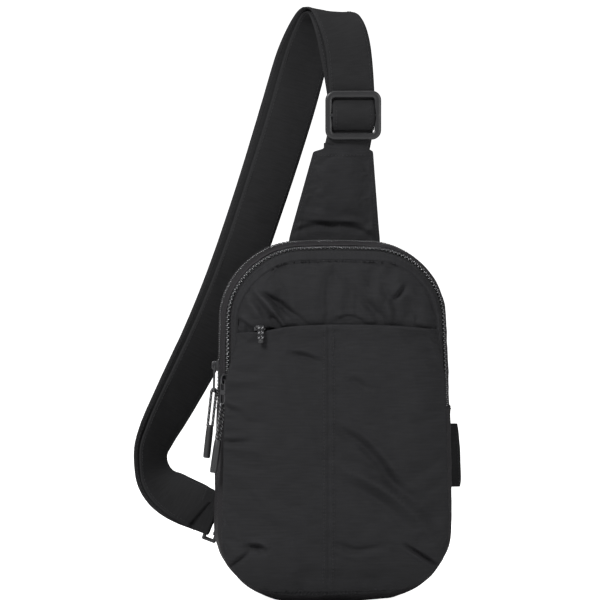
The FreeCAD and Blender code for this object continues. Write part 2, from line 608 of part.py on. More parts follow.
def build_adjuster():
    """Ladder-lock frame in front of the strap, and the web that humps over its middle bar."""
    body = doc.addObject("PartDesign::Body", "adjuster")
    frame = plane_sketch(body, "XZ_Plane", "adjuster_outline", "adjuster_back")
    half, tall = "adjuster_width / 2", "adjuster_tall / 2"
    box(frame, f"-{half}", half, f"-{tall}", tall)
    slab = pad(body, frame, "adjuster_thick", "adjuster_plate")
    doc.recompute()
    corners = body.newObject("PartDesign::Fillet", "adjuster_corners")
    upright = [f"Edge{i + 1}" for i, edge in enumerate(slab.Shape.Edges)
               if abs(edge.Length - number("adjuster_thick")) < 0.01]
    corners.Base = (slab, upright)
    corners.setExpression("Radius", "Sizes.adjuster_corner")
    windows = plane_sketch(body, "XZ_Plane", "adjuster_windows", "adjuster_back")
    inner = f"{half} - adjuster_side"
    box(windows, f"-({inner})", inner, "centre_bar / 2", f"{tall} - adjuster_bar", "upper")
    box(windows, f"-({inner})", inner, f"-({tall} - adjuster_bar)", "-centre_bar / 2", "lower")
    cut_through(body, windows, "adjuster_slots")
    place(node(body, "adjuster"), "adjuster_x", "0", "adjuster_z")

    wrap = doc.addObject("PartDesign::Body", "adjuster_wrap")
    hump = plane_sketch(wrap, "YZ_Plane", "adjuster_wrap_hump")
    rise = "(wrap_peak - wrap_foot)"
    radius = f"((wrap_reach ^ 2 + {rise} ^ 2) / (2 * {rise}))"
    centre = Vector(number(f"{radius} - wrap_peak"), 0, 0)
    half_angle = math.asin(number("wrap_reach") / number(radius))
    inner = f"({radius} - web)"
    for size in (radius, inner):
        ring = Part.Circle(centre, Vector(0, 0, 1), number(size))
        hump.addGeometry(Part.ArcOfCircle(ring, math.pi - half_angle, math.pi + half_angle), False)
    for end in (1, 2):
        line = hump.addGeometry(Part.LineSegment(hump.getPoint(0, end), hump.getPoint(1, end)), False)
        hump.addConstraint(Sketcher.Constraint("Coincident", line, 1, 0, end))
        hump.addConstraint(Sketcher.Constraint("Coincident", line, 2, 1, end))
    hump.addConstraint(Sketcher.Constraint("Coincident", 0, 3, 1, 3))
    hump.addConstraint(Sketcher.Constraint("PointOnObject", 0, 3, -1))
    hump.addConstraint(Sketcher.Constraint("Symmetric", 0, 1, 0, 2, -1))
    hump.addConstraint(Sketcher.Constraint("Symmetric", 1, 1, 1, 2, -1))
    for tag, kind, ends, text in (("centre", "DistanceX", (-1, 1, 0, 3), f"{radius} - wrap_peak"),
                                  ("outer", "Radius", (0,), radius), ("inner", "Radius", (1,), inner),
                                  ("reach", "DistanceY", (-1, 1, 0, 1), "wrap_reach"),
                                  ("foot", "DistanceY", (-1, 1, 1, 1), f"wrap_reach * {inner} / {radius}")):
        bind(hump, Sketcher.Constraint(kind, *ends, number(text)), tag, text)
    pad(wrap, hump, "strap_width", "adjuster_wrap_pad", midplane=True)
    place(node(wrap, "adjuster_wrap"), "adjuster_x", "0", "adjuster_z")


# Path of the strap, from the yoke over the arch and down behind the bag to the lower ring: the middle
# of the load layer, the direction of its width, and how far the return layer lies to the left of it.
STRAP_PATH = (
    # x, y, z, (width direction), lateral shift of the return layer
    (14.5, 0.0, 218.0, (1, 0, 0), 0.0),
    (19.0, 0.0, 247.0, (1, 0, 0), 0.0),
    (18.5, 0.0, 274.0, (1, 0, 0), -2.5),
    (16.0, 0.0, 301.0, (1, 0, 0), -5.0),
    (10.5, 4.5, 321.0, (1, 0, -0.05), -4.0),
    (1.5, 20.0, 331.5, (1, 0.1, -0.15), 0.0),
    (-8.0, 36.0, 320.0, (1, 0.1, -0.25), 4.0),
    (-20.0, 43.0, 293.0, (1, 0.05, -0.30), 6.5),
    (-31.0, 45.0, 255.0, (1, 0, -0.33), 7.0),
    (-58.0, 41.0, 170.0, (1, 0.05, -0.33), 6.0),
    (-87.0, 34.0, 93.0, (1, 0.15, -0.38), 5.5),
    (-116.0, 26.0, 35.0, (1, 0.45, -0.48), 5.0),
    (-141.0, 20.0, -12.0, (0.75, 0.66, -0.35), 4.0),
    (-147.5, 17.5, -33.0, (0.66, 0.75, 0.0), 4.0),
    (-142.0, 15.0, -54.0, (0.60, 0.68, 0.42), 3.5),
    (-124.0, 10.5, -67.0, (0.42, 0.35, 0.85), 2.5),
    (-100.3, 8.4, -76.2, (0.37, 0.0, 0.93), 0.0),
)


def between(values, at):
    """Straight interpolation in an evenly spaced list of vectors, at 0..1."""
    place_in_list = at * (len(values) - 1)
    low = min(int(place_in_list), len(values) - 2)
    return values[low] + (values[low + 1] - values[low]) * (place_in_list - low)


def ribbon(name, first, last, inward, use_shift):
    """Web of the strap between two places on its path, offset towards the inside of the loop."""
    count = len(STRAP_PATH)
    middle = Part.BSplineCurve()
    middle.interpolate(Points=[Vector(*station[:3]) for station in STRAP_PATH],
                       Parameters=[i / (count - 1) for i in range(count)])
    widths = [Vector(*station[3]) for station in STRAP_PATH]
    shifts = [Vector(station[4], 0, 0) for station in STRAP_PATH]
    half, thick = number("strap_width") / 2, number("strap_thick") / 2
    sections = []
    steps = 30
    for step in range(steps + 1):
        at = first + (last - first) * step / steps
        along = middle.tangent(at)[0]
        across = between(widths, at)
        across = (across - along * across.dot(along)).normalize()
        normal = along.cross(across)
        centre = middle.value(at) + normal * inward
        if use_shift:
            centre += across * between(shifts, at).x
        corners = [centre + across * side * half + normal * face * thick
                   for side, face in ((-1, -1), (1, -1), (1, 1), (-1, 1))]
        sections.append(Part.makePolygon(corners + corners[:1]))
    feature = doc.addObject("Part::Feature", name)
    feature.Shape = Part.makeLoft(sections, True, False)
    feature.Placement = Placement()
    return node(feature, name)


def build_strap():
    """Load layer and, inside it, the return layer that comes back from the lower ring."""
    spacing = number("strap_thick + layer_gap")
    ribbon("strap_load", 0.0, 1.0, 0.0, False)
    ribbon("strap_return", 0.075, 1.0, spacing, True)


# ---------------------------------------------------------------- lower ring and side tabs

def ring_axis():
    """Direction of the ring's bars: from the ring to the middle of the yoke's seam."""
    yoke_middle = Vector(number("(yoke_left + yoke_right) / 2"), 0, number("yoke_base_z"))
    return (yoke_middle - Vector(number("ring_x"), number("ring_y"), number("ring_z"))).normalize()


def ring_rotation():
    """Frame of the ring: z along its bars, x across it towards the bag's middle."""
    along = ring_axis()
    across = Vector(1, 0, 0)
    across = (across - along * across.dot(along)).normalize()
    return Rotation(across, along.cross(across), along, "ZXY")


def build_ring():
    """Rectangular wire ring with one bar in the tab's loop and the other in the strap's fold."""
    body = doc.addObject("PartDesign::Body", "lower_ring")
    path = plane_sketch(body, "XZ_Plane", "lower_ring_path")
    box(path, "-ring_reach", "0", "-ring_span / 2", "ring_span / 2")
    section = plane_sketch(body, "XY_Plane", "lower_ring_section")
    circle(section, "0", "0", "ring_wire")
    pipe = body.newObject("PartDesign::AdditivePipe", "lower_ring_wire")
    pipe.Profile = section
    pipe.Spine = (path, [f"Edge{i}" for i in range(1, 5)])
    pipe.Transition = "Round corner"
    place(node(body, "lower_ring"), "ring_x", "ring_y", "ring_z", ring_rotation())

    inner = "ring_wire + loop_clear"
    fold = doc.addObject("PartDesign::Body", "strap_fold")
    fold_section = plane_sketch(fold, "XY_Plane", "strap_fold_section", "-strap_width / 2")
    circle(fold_section, "-ring_reach", "0", f"{inner} + loop_web", "outer")
    circle(fold_section, "-ring_reach", "0", inner, "inner")
    pad(fold, fold_section, "strap_width", "strap_fold_pad")
    place(node(fold, "strap_fold"), "ring_x", "ring_y", "ring_z", ring_rotation())

    tab = doc.addObject("PartDesign::Body", "lower_tab")
    tab_section = plane_sketch(tab, "XY_Plane", "lower_tab_section", "-lower_tab_width / 2")
    circle(tab_section, "0", "0", f"{inner} + loop_web", "outer")
    circle(tab_section, "0", "0", inner, "inner")
    pad(tab, tab_section, "lower_tab_width", "lower_tab_pad")
    place(node(tab, "lower_tab"), "ring_x", "ring_y", "ring_z", ring_rotation())


def build_side_tab():
    """Folded web loop sewn into the right side seam, open along Z."""
    body = doc.addObject("PartDesign::Body", "side_tab")
    section = plane_sketch(body, "XY_Plane", "side_tab_section", "-side_tab_width / 2")
    box(section, "0", "side_tab_reach", "-side_tab_thick / 2", "side_tab_thick / 2", "outer")
    box(section, "loop_web", "side_tab_reach - loop_web", "-side_tab_thick / 2 + loop_web",
        "side_tab_thick / 2 - loop_web", "inner")
    pad(body, section, "side_tab_width", "side_tab_pad")
    place(node(body, "side_tab"), "bag_width / 2 - side_tab_sink", "-side_tab_thick / 2 - side_tab_front",
          "side_tab_z")


def build_bag():
    """Build every sub-part."""
    main_zip = ("main_zip_depth", "rear_step / 2")
    front_zip = ("front_zip_depth", "front_step + 2 * seam_gap")
    path = spine("zip_path")
    build_back()
    build_gusset(path)
    build_zip("main_zip", path, main_zip, "0")
    build_zip("front_zip", path, front_zip, "front_zip_slope")
    build_front()
    build_pocket_zip()
    build_pulls("main", main_zip, "0", "main_slider_z")
    build_pulls("front", front_zip, "front_zip_slope", "front_slider_z")
    build_pocket_slider()
    build_yoke()
    build_adjuster()
    build_strap()
    build_ring()
    build_side_tab()


def check_and_export():
    """Stop on any failed object or bad shape, then write one file for each sub-part."""
    doc.recompute()
    failed = [item.Label for item in doc.Objects if "Invalid" in item.State or "Error" in item.State]
    if failed:
        raise RuntimeError(f"objects that failed: {failed}")
    for piece in nodes:
        if piece.Shape.isNull() or not piece.Shape.isValid() or not piece.Shape.Solids:
            raise RuntimeError(f"bad shape: {piece.Label}")
    os.makedirs("parts", exist_ok=True)
    for piece in nodes:
        piece.Shape.exportStep(f"parts/{piece.Label}.step")
    print(f"{len(nodes)} sub-parts written")


build_bag()
check_and_export()
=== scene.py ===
"""Looks of the sling bag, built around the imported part.

Points are worked out in millimetres, in the part's own frame: the back face is at y = 0, the front looks
towards -y and z is up. They become metres when a mesh is made.
"""

import json
import math

import bmesh
import bpy
import numpy as np
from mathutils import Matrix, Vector
from mathutils.bvhtree import BVHTree


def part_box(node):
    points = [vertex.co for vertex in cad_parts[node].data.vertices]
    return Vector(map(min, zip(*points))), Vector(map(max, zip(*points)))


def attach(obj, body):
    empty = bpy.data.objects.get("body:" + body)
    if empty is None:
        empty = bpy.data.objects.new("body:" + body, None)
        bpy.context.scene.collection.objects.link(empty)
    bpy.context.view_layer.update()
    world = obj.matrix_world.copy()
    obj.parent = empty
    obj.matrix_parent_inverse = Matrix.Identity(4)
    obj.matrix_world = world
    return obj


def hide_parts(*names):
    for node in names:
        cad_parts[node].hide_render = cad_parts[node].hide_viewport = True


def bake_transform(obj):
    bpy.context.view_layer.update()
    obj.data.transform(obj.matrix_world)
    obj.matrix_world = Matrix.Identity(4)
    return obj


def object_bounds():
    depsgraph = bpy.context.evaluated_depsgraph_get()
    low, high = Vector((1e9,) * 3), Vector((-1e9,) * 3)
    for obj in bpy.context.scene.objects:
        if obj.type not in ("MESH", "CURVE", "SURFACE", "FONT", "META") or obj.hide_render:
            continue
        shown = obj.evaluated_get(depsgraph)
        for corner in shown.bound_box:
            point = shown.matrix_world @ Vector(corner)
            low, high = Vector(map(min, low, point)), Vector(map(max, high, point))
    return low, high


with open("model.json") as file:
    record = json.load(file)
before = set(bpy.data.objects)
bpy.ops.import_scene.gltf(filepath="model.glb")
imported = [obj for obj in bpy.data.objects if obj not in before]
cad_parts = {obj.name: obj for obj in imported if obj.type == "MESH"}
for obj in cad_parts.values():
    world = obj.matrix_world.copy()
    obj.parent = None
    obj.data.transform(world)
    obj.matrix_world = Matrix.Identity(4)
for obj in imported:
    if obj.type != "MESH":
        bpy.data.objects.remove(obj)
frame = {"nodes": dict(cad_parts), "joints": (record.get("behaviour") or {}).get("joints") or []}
CAD_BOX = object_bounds()
NODES = frame["nodes"]
JOINTS = {joint["name"]: joint for joint in frame["joints"]}
MM = 0.001


# ---------------------------------------------------------------- sizes, from the frame

def span(node):
    """Lowest and highest corner of a CAD node."""
    return tuple(np.array(corner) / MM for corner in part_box(node))


GUSSET_LOW, GUSSET_HIGH = span("lower_gusset")
HALF_LOW = GUSSET_HIGH[0]
BOTTOM = GUSSET_LOW[2]
ZIP_END = GUSSET_HIGH[2]
TOP = span("middle_gusset")[1][2]
# Outline: how much narrower each side is at the top, and the radii of the corners.
FLARE, TOP_CORNER, BOTTOM_CORNER = 4, 60, 57
BORDER_DEPTH = -span("front_border")[1][1]
FRONT_DEPTH = -span("front_border")[0][1]
# Seams: how far inside the outline the front's and the back's run, and how much lower the front's top is.
FRONT_INSET, BACK_INSET, FRONT_DROP = 9, 4.5, 4
SEAM_X = span("pocket_panel_left")[1][0]
SLIDER_X = (span("pocket_slider")[0][0] + span("pocket_slider")[1][0]) / 2
MOUTH = (span("pocket_panel_left")[1][2] + span("front_panel")[0][2]) / 2
CLOTH = 1.2
STRAP_WIDTH = span("adjuster_wrap")[1][0] - span("adjuster_wrap")[0][0]
STRAP_THICKNESS, HEM, EDGE_RADIUS = 1.8, 14, 0.22

# Each zip: depth and inset where its surface starts, the slope it lies at, and how wide it is.
MAIN_ZIP = (-span("main_zip_rear_tape")[1][1], 0.2, 0)
FRONT_ZIP = (BORDER_DEPTH - 8.8, 0.7, math.radians(35))
ZIP_WIDTH, TOOTH_PITCH = 10, 3.3

# Spacing of points along the outline, along a stitch and along a cord.
BAND_STEP, THREAD_STEP, CORD_STEP = 2.5, 0.5, 0.45


# ---------------------------------------------------------------- number helpers

def smooth(value):
    """Smooth step from 0 to 1."""
    value = np.clip(value, 0, 1)
    return value * value * (3 - 2 * value)


def unit(vectors):
    """Vectors of length one."""
    return vectors / np.maximum(np.linalg.norm(vectors, axis=-1, keepdims=True), 1e-9)


def waves(places, length, seed, count=9):
    """Smooth uneven field between about -1 and 1, with bumps about this length across."""
    draw = np.random.default_rng(seed)
    field = np.zeros(places.shape[:-1])
    for _ in range(count):
        direction = draw.normal(size=3)
        turns = 2 * math.pi / (length * draw.uniform(0.7, 1.5))
        field += np.sin(places @ (direction / np.linalg.norm(direction)) * turns + draw.uniform(0, 6.28))
    return field / math.sqrt(count)


def curve(points, count):
    """Smooth curve through a few points (Catmull-Rom)."""
    points = np.array(points, float)
    padded = np.vstack([2 * points[0] - points[1], points, 2 * points[-1] - points[-2]])
    result = []
    for at in np.linspace(0, len(points) - 1, count):
        i = min(int(at), len(points) - 2)
        f = at - i
        a, b, c, d = padded[i:i + 4]
        result.append(0.5 * (2 * b + (c - a) * f + (2 * a - 5 * b + 4 * c - d) * f ** 2
                             + (3 * b - a - 3 * c + d) * f ** 3))
    return np.array(result)


def lengths(line):
    """How far along a line each of its points is."""
    return np.concatenate([[0], np.cumsum(np.linalg.norm(np.diff(line, axis=0), axis=1))])


def resample(line, spacing, *followers):
    """The line, and arrays that go with it, at even spacing along its length."""
    line = np.array(line, float)
    far = lengths(line)
    steps = max(2, round(far[-1] / spacing) + 1)
    at = np.linspace(0, far[-1], steps)
    return [np.stack([np.interp(at, far, values[:, k]) for k in range(values.shape[1])], axis=1)
            for values in (line, *followers)]


# ---------------------------------------------------------------- meshes

def grid_faces(rows, columns, wrap_rows=False, wrap_columns=False):
    """Four-cornered faces of a grid of points."""
    index = np.arange(rows * columns).reshape(rows, columns)
    if wrap_rows:
        index = np.vstack([index, index[:1]])
    if wrap_columns:
        index = np.hstack([index, index[:, :1]])
    quads = np.stack([index[:-1, :-1], index[:-1, 1:], index[1:, 1:], index[1:, :-1]], axis=-1)
    return quads.reshape(-1, 4).tolist()


def make(name, points, faces, material, uv=None):
    """Mesh object from points in millimetres, smooth shaded, with its faces turned outwards."""
    mesh = bpy.data.meshes.new(name)
    mesh.from_pydata((np.asarray(points, float) * MM).tolist(), [], faces)
    if uv is not None:
        corners = np.empty(len(mesh.loops), int)
        mesh.loops.foreach_get("vertex_index", corners)
        mesh.uv_layers.new(name="cloth").data.foreach_set("uv", np.asarray(uv, float)[corners].ravel())
    piece = bpy.data.objects.new(name, mesh)
    bpy.context.scene.collection.objects.link(piece)
    work = bmesh.new()
    work.from_mesh(mesh)
    bmesh.ops.recalc_face_normals(work, faces=work.faces)
    work.to_mesh(mesh)
    work.free()
    mesh.polygons.foreach_set("use_smooth", [True] * len(mesh.polygons))
    mesh.materials.append(material)
    return piece


def cloth_uv(grid):
    """Lengths along the rows and columns of a grid, in metres, for the weave."""
    across = np.linalg.norm(np.diff(grid, axis=1), axis=2).mean(axis=0)
    along = np.linalg.norm(np.diff(grid, axis=0), axis=2).mean(axis=1)
    u = np.concatenate([[0], np.cumsum(across)]) * MM
    v = np.concatenate([[0], np.cumsum(along)]) * MM
    return np.stack(np.meshgrid(u, v), axis=-1).reshape(-1, 2)


def skin(name, grid, material, wrap_rows=False, wrap_columns=False):
    """Mesh of a grid of points; a section closed on itself gets end caps."""
    rows, columns = grid.shape[:2]
    faces = grid_faces(rows, columns, wrap_rows, wrap_columns)
    if wrap_columns and not wrap_rows:
        faces.append(list(range(columns)))
        faces.append([(rows - 1) * columns + i for i in reversed(range(columns))])
    return make(name, grid.reshape(-1, 3), faces, material, cloth_uv(grid))


def thicken(piece, thickness=CLOTH, smoothing=1):
    """Give a sheet its thickness on the inner side, and round its shape."""
    solid = piece.modifiers.new("thickness", "SOLIDIFY")
    solid.thickness = thickness * MM
    solid.offset = -1
    if smoothing:
        rounding = piece.modifiers.new("rounding", "SUBSURF")
        rounding.levels = rounding.render_levels = smoothing
    return piece


def tube(path, radius, sides=6, up=None):
    """Points and faces of a round tube with closed ends; the radius may change along it."""
    path = np.array(path, float)
    along = unit(np.gradient(path, axis=0))
    up = np.array(up if up is not None else np.eye(3)[np.argmin(np.abs(along).sum(axis=0))], float)
    side = unit(np.cross(along, up))
    lift = np.cross(side, along)
    turn = np.arange(sides) * 2 * math.pi / sides
    radius = np.broadcast_to(radius, len(path))
    ring = side[:, None] * np.cos(turn)[:, None] + lift[:, None] * np.sin(turn)[:, None]
    points = path[:, None] + ring * radius[:, None, None]
    faces = grid_faces(len(path), sides, wrap_columns=True)
    faces.append(list(range(sides)))
    faces.append([(len(path) - 1) * sides + i for i in reversed(range(sides))])
    return points.reshape(-1, 3), faces


class Bundle:
    """Many small shapes gathered into one mesh."""

    def __init__(self):
        self.points, self.faces, self.count = [], [], 0

    def add(self, points, faces):
        self.points.append(points)
        self.faces.extend([[i + self.count for i in face] for face in faces])
        self.count += len(points)

    def piece(self, name, material):
        return make(name, np.vstack(self.points), self.faces, material)


def stitch(bundle, line, lift, pitch=3.0, length=2.1, radius=0.24):
    """Sewing thread along a line: each stitch comes out of the cloth and goes back in."""
    line, lift = resample(line, THREAD_STEP, np.broadcast_to(lift, np.shape(line)).copy())
    far = np.arange(len(line)) * THREAD_STEP
    rise = np.array([-0.35, 0.1, 0.2, 0.1, -0.35])
    for start in np.arange(0.5, far[-1] - length, pitch):
        at = start + np.linspace(0, 1, 5) * length
        middle = np.stack([np.interp(at, far, line[:, k]) for k in range(3)], axis=1)
        out = np.stack([np.interp(at, far, lift[:, k]) for k in range(3)], axis=1)
        bundle.add(*tube(middle + out * rise[:, None], radius, 5, up=out[2]))


def on_body(piece, body, slot, *replaced):
    """Let a finished piece ride on a body and stand for CAD nodes."""
    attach(piece, body)
    if replaced:
        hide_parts(*replaced)
    return piece


def coordinates(piece):
    """Vertex places of a mesh, in millimetres."""
    places = np.empty(len(piece.data.vertices) * 3)
    piece.data.vertices.foreach_get("co", places)
    return places.reshape(-1, 3) / MM


def move_to(piece, places):
    """Set the vertex places of a mesh, in millimetres."""
    piece.data.vertices.foreach_set("co", (places * MM).ravel())
    piece.data.update()


def inflate(piece, sewn, pressure, growth, cap, frames=20, stiffness=8):
    """Cloth simulation: sewn points stay, the rest fills out and wrinkles, and nothing moves past the cap."""
    group = piece.vertex_groups.new(name="sewn")
    group.add(np.flatnonzero(sewn).tolist(), 1.0, "REPLACE")
    cloth = piece.modifiers.new("filling", "CLOTH")
    settings = cloth.settings
    settings.vertex_group_mass = "sewn"
    settings.use_pressure = True
    settings.uniform_pressure_force = pressure
    settings.effector_weights.gravity = 0
    settings.shrink_min = -growth
    settings.quality = 5
    settings.mass = 0.15
    settings.tension_stiffness = settings.compression_stiffness = stiffness
    settings.bending_stiffness = 0.15
    cloth.collision_settings.use_collision = False
    cloth.point_cache.frame_start, cloth.point_cache.frame_end = 1, frames
    for step in range(1, frames + 1):
        bpy.context.scene.frame_set(step)
    evaluated = piece.evaluated_get(bpy.context.evaluated_depsgraph_get())
    moved = np.empty(len(piece.data.vertices) * 3)
    evaluated.data.vertices.foreach_get("co", moved)
    rest = coordinates(piece)
    change = moved.reshape(-1, 3) / MM - rest
    far = np.linalg.norm(change, axis=1, keepdims=True)
    change *= np.tanh(far / cap) * cap / np.maximum(far, 1e-6)
    piece.modifiers.remove(cloth)
    piece.vertex_groups.remove(group)
    bpy.context.scene.frame_set(1)
    move_to(piece, rest + change)


# ---------------------------------------------------------------- outline of the bag

def direction(angle):
    """Unit vectors in the plane of the outline."""
    return np.stack([np.cos(angle), np.sin(angle)], axis=-1)


def right_side(step, inset=0.0, drop=0.0):
    """Points and outward directions down the right side, from the middle of the top to that of the bottom."""
    top = np.array([HALF_LOW - FLARE - TOP_CORNER, TOP - TOP_CORNER - drop])
    bottom = np.array([HALF_LOW - BOTTOM_CORNER, BOTTOM + BOTTOM_CORNER])
    down = bottom - top
    lean = math.atan2(down[1], down[0]) + math.acos((TOP_CORNER - BOTTOM_CORNER) / math.hypot(*down))
    stations = [
        (np.array([0, top[1]]), TOP_CORNER, math.pi / 2),
        (top, TOP_CORNER, math.pi / 2),
        (top, TOP_CORNER, lean),
        (bottom, BOTTOM_CORNER, lean),
        (bottom, BOTTOM_CORNER, -math.pi / 2),
        (np.array([0, bottom[1]]), BOTTOM_CORNER, -math.pi / 2),
    ]
    places, angles = [], []
    for (centre, radius, angle), (next_centre, next_radius, next_angle) in zip(stations, stations[1:]):
        length = np.hypot(*(next_centre - centre)) + radius * abs(next_angle - angle)
        for t in np.arange(max(1, round(length / step))) / max(1, round(length / step)):
            turned = angle + (next_angle - angle) * t
            reach = radius + (next_radius - radius) * t - inset
            places.append(centre + (next_centre - centre) * t + direction(turned) * reach)
            angles.append(turned)
    places.append(np.array([0, BOTTOM + inset]))
    angles.append(-math.pi / 2)
    return np.array(places), direction(np.array(angles))


def around(step, low=None):
    """The whole outline, or the part of it above a height, from the left over the top to the right."""
    places, outward = right_side(step)
    if low is not None:
        keep = int(np.argmax(places[:, 1] < low))
        above, below = places[keep - 1], places[keep]
        share = (above[1] - low) / (above[1] - below[1])
        places = np.vstack([places[:keep], above + (below - above) * share])
        outward = outward[:keep + 1]
    flip = np.array([-1, 1])
    last = None if low is not None else -1
    left, left_out = places[1:last][::-1] * flip, outward[1:last][::-1] * flip
    return np.vstack([left, places]), np.vstack([left_out, outward])


def lay(path, section):
    """Carry a section, rows of (depth, inset), along the outline."""
    places, outward = path
    depth, inset = np.array(section, float).T
    x = places[:, None, 0] - outward[:, None, 0] * inset
    z = places[:, None, 1] - outward[:, None, 1] * inset
    centre_low, centre_high = BOTTOM + BOTTOM_CORNER, TOP - TOP_CORNER
    share = np.clip((z - centre_low) / (centre_high - centre_low), 0, 1)
    z = z - share * FRONT_DROP * np.clip((depth - BORDER_DEPTH) / (FRONT_DEPTH - BORDER_DEPTH), 0, 1)
    return np.stack([x, np.broadcast_to(-depth, x.shape), z], axis=-1)


def settle(places):
    """Slight crown of the top and bottom, and a gentle unevenness, the same for every piece of the bag."""
    crown = np.cos(math.pi * places[..., 0] / HALF_LOW)
    high = smooth((places[..., 2] - 60) / 80)
    low = smooth((-places[..., 2] - 90) / 50)
    moved = places.copy()
    moved[..., 2] += crown * (1.5 * high - 1.2 * low)
    moved[..., 0] += 0.5 * waves(places, 110, 1)
    moved[..., 2] += 0.4 * waves(places, 110, 2)
    return moved


def zip_point(kind, run, rise):
    """Depth and inset of a point on a zip: its distance across the zip, and its height above the surface."""
    depth, inset, slope = kind
    return (depth + run * math.cos(slope) + rise * math.sin(slope),
            inset + run * math.sin(slope) - rise * math.cos(slope))


# ---------------------------------------------------------------- materials

class Shader:
    """Small helper that builds a material's nodes."""

    def __init__(self, name):
        self.material = bpy.data.materials.new(name)
        self.material.use_nodes = True
        self.nodes = self.material.node_tree.nodes
        self.links = self.material.node_tree.links
        self.surface = self.nodes["Principled BSDF"]

    def add(self, kind, inputs=None, **settings):
        made = self.nodes.new("ShaderNode" + kind)
        for key, value in settings.items():
            setattr(made, key, value)
        for key, value in (inputs or {}).items():
            self.put(value, made.inputs[key])
        return made

    def put(self, value, socket):
        if hasattr(value, "is_output"):
            self.links.new(value, socket)
        else:
            socket.default_value = value

    def maths(self, operation, *values):
        made = self.nodes.new("ShaderNodeMath")
        made.operation = operation
        for value, socket in zip(values, made.inputs):
            self.put(value, socket)
        return made.outputs[0]

    def noise(self, vector, scale, detail=3.0, roughness=0.5):
        return self.add("TexNoise", {"Vector": vector, "Scale": scale, "Detail": detail,
                                     "Roughness": roughness}).outputs["Fac"]

    def bump(self, height, strength, distance, below=None):
        made = self.add("Bump", {"Height": height, "Strength": strength, "Distance": distance})
        if below is not None:
            self.links.new(below, made.inputs["Normal"])
        return made.outputs["Normal"]

    def rubbed(self, start, full, most):
        """Tone added on raised edges, where the surface is rubbed paler."""
        raised = self.add("NewGeometry").outputs["Pointiness"]
        return self.add("MapRange", {"Value": raised, "From Min": start, "From Max": full,
                                     "To Max": most}).outputs["Result"]

    def finish(self, colour, tone, inputs):
        """The material, with its colour times the tone and the other inputs of its surface."""
        tinted = self.add("VectorMath", {0: colour, "Scale": tone}, operation="SCALE")
        self.put(tinted.outputs["Vector"], self.surface.inputs["Base Color"])
        for key, value in inputs.items():
            self.put(value, self.surface.inputs[key])
        return self.material


def fabric(name, colour, pitch=0.55, roughness=0.76, sheen=0.004, grain=0.34, weave=0.5, ribs=1.0):
    """Woven cloth: warp and weft, a fine grain along the weft, uneven dye, and paler worn edges."""
    made = Shader(name)
    place = made.add("TexCoord").outputs
    metric = made.add("SeparateXYZ", {0: place["UV"]}).outputs
    turns = 2 * math.pi / (pitch * MM)
    warp = made.maths("SINE", made.maths("MULTIPLY", metric["X"], turns))
    weft = made.maths("SINE", made.maths("MULTIPLY", metric["Y"], turns * ribs))
    streaks = made.add("Mapping", {"Vector": place["UV"], "Scale": (70, 700, 1)})
    grain_field = made.noise(streaks.outputs["Vector"], 1.0, 2.0)
    cloudy = made.noise(place["Object"], 22.0, 4.0)
    tone = made.maths("ADD", made.maths("MULTIPLY", made.maths("SUBTRACT", grain_field, 0.5), grain * 2),
                      made.maths("MULTIPLY", made.maths("SUBTRACT", cloudy, 0.5), 0.35))
    tone = made.maths("ADD", made.maths("ADD", tone, made.rubbed(0.52, 0.62, 0.35)), 1.0)
    normal = made.bump(made.noise(place["Object"], 210.0, 3.0, 0.6), 0.18, 0.0012)
    normal = made.bump(made.maths("MULTIPLY", warp, weft), weave, 0.00008, normal)
    return made.finish(colour, tone, {
        "Roughness": made.maths("ADD", roughness - 0.08, made.maths("MULTIPLY", cloudy, 0.16)),
        "Sheen Weight": sheen, "Sheen Roughness": 0.4, "Specular IOR Level": 0.12,
        "Normal": made.bump(grain_field, 0.35, 0.0001, normal)})


def hard(name, colour, metallic, roughness, wear=0.5, grain=900.0, gloss=0.5):
    """Moulded plastic or cast metal: fine surface grain, uneven gloss, and edges rubbed paler."""
    made = Shader(name)
    place = made.add("TexCoord").outputs["Object"]
    cloudy = made.noise(place, 90.0, 3.0)
    tone = made.maths("ADD", made.maths("ADD", made.rubbed(0.51, 0.6, wear), 0.85),
                      made.maths("MULTIPLY", cloudy, 0.3))
    return made.finish(colour, tone, {
        "Metallic": metallic, "Specular IOR Level": gloss,
        "Roughness": made.maths("ADD", roughness - 0.06, made.maths("MULTIPLY", cloudy, 0.14)),
        "Normal": made.bump(made.noise(place, grain, 2.0), 0.12, 0.0001)})


NYLON = fabric("black_nylon", (0.0135, 0.0135, 0.0146))
GUSSET_NYLON = fabric("gusset_nylon", (0.0150, 0.0142, 0.0155), grain=0.1, roughness=0.66)
WEBBING = fabric("strap_nylon", (0.0120, 0.0120, 0.0127), pitch=0.8, weave=0.8, ribs=0.5)
BACK_CLOTH = fabric("back_cloth", (0.016, 0.016, 0.017), pitch=1.6, weave=1.0, roughness=0.85)
LINING = fabric("grey_lining", (0.03, 0.03, 0.034), pitch=0.4, roughness=0.6)
TAPE = fabric("zip_tape", (0.012, 0.012, 0.013), pitch=0.9, weave=1.0, ribs=0.4, sheen=0.1)
CORD = fabric("cord_black", (0.012, 0.012, 0.013), pitch=0.4, roughness=0.6)
FLECK = fabric("cord_fleck", (0.15, 0.15, 0.155), pitch=0.4, roughness=0.4)
THREAD = fabric("thread", (0.017, 0.017, 0.018), pitch=0.25, roughness=0.5)
COIL = hard("zip_coil", (0.13, 0.13, 0.135), 0.85, 0.24, wear=0.0, gloss=1.0)
METAL = hard("gunmetal", (0.11, 0.11, 0.115), 1.0, 0.3, wear=0.6)
PLASTIC = hard("satin_plastic", (0.012, 0.012, 0.013), 0.0, 0.36, wear=0.3, gloss=0.4)
WIRE = hard("black_coated_wire", (0.012, 0.012, 0.013), 0.0, 0.42, wear=0.1)
RUBBER = hard("cord_end_rubber", (0.017, 0.017, 0.018), 0.0, 0.48, wear=0.2, grain=1500, gloss=0.4)


# ---------------------------------------------------------------- gusset bands

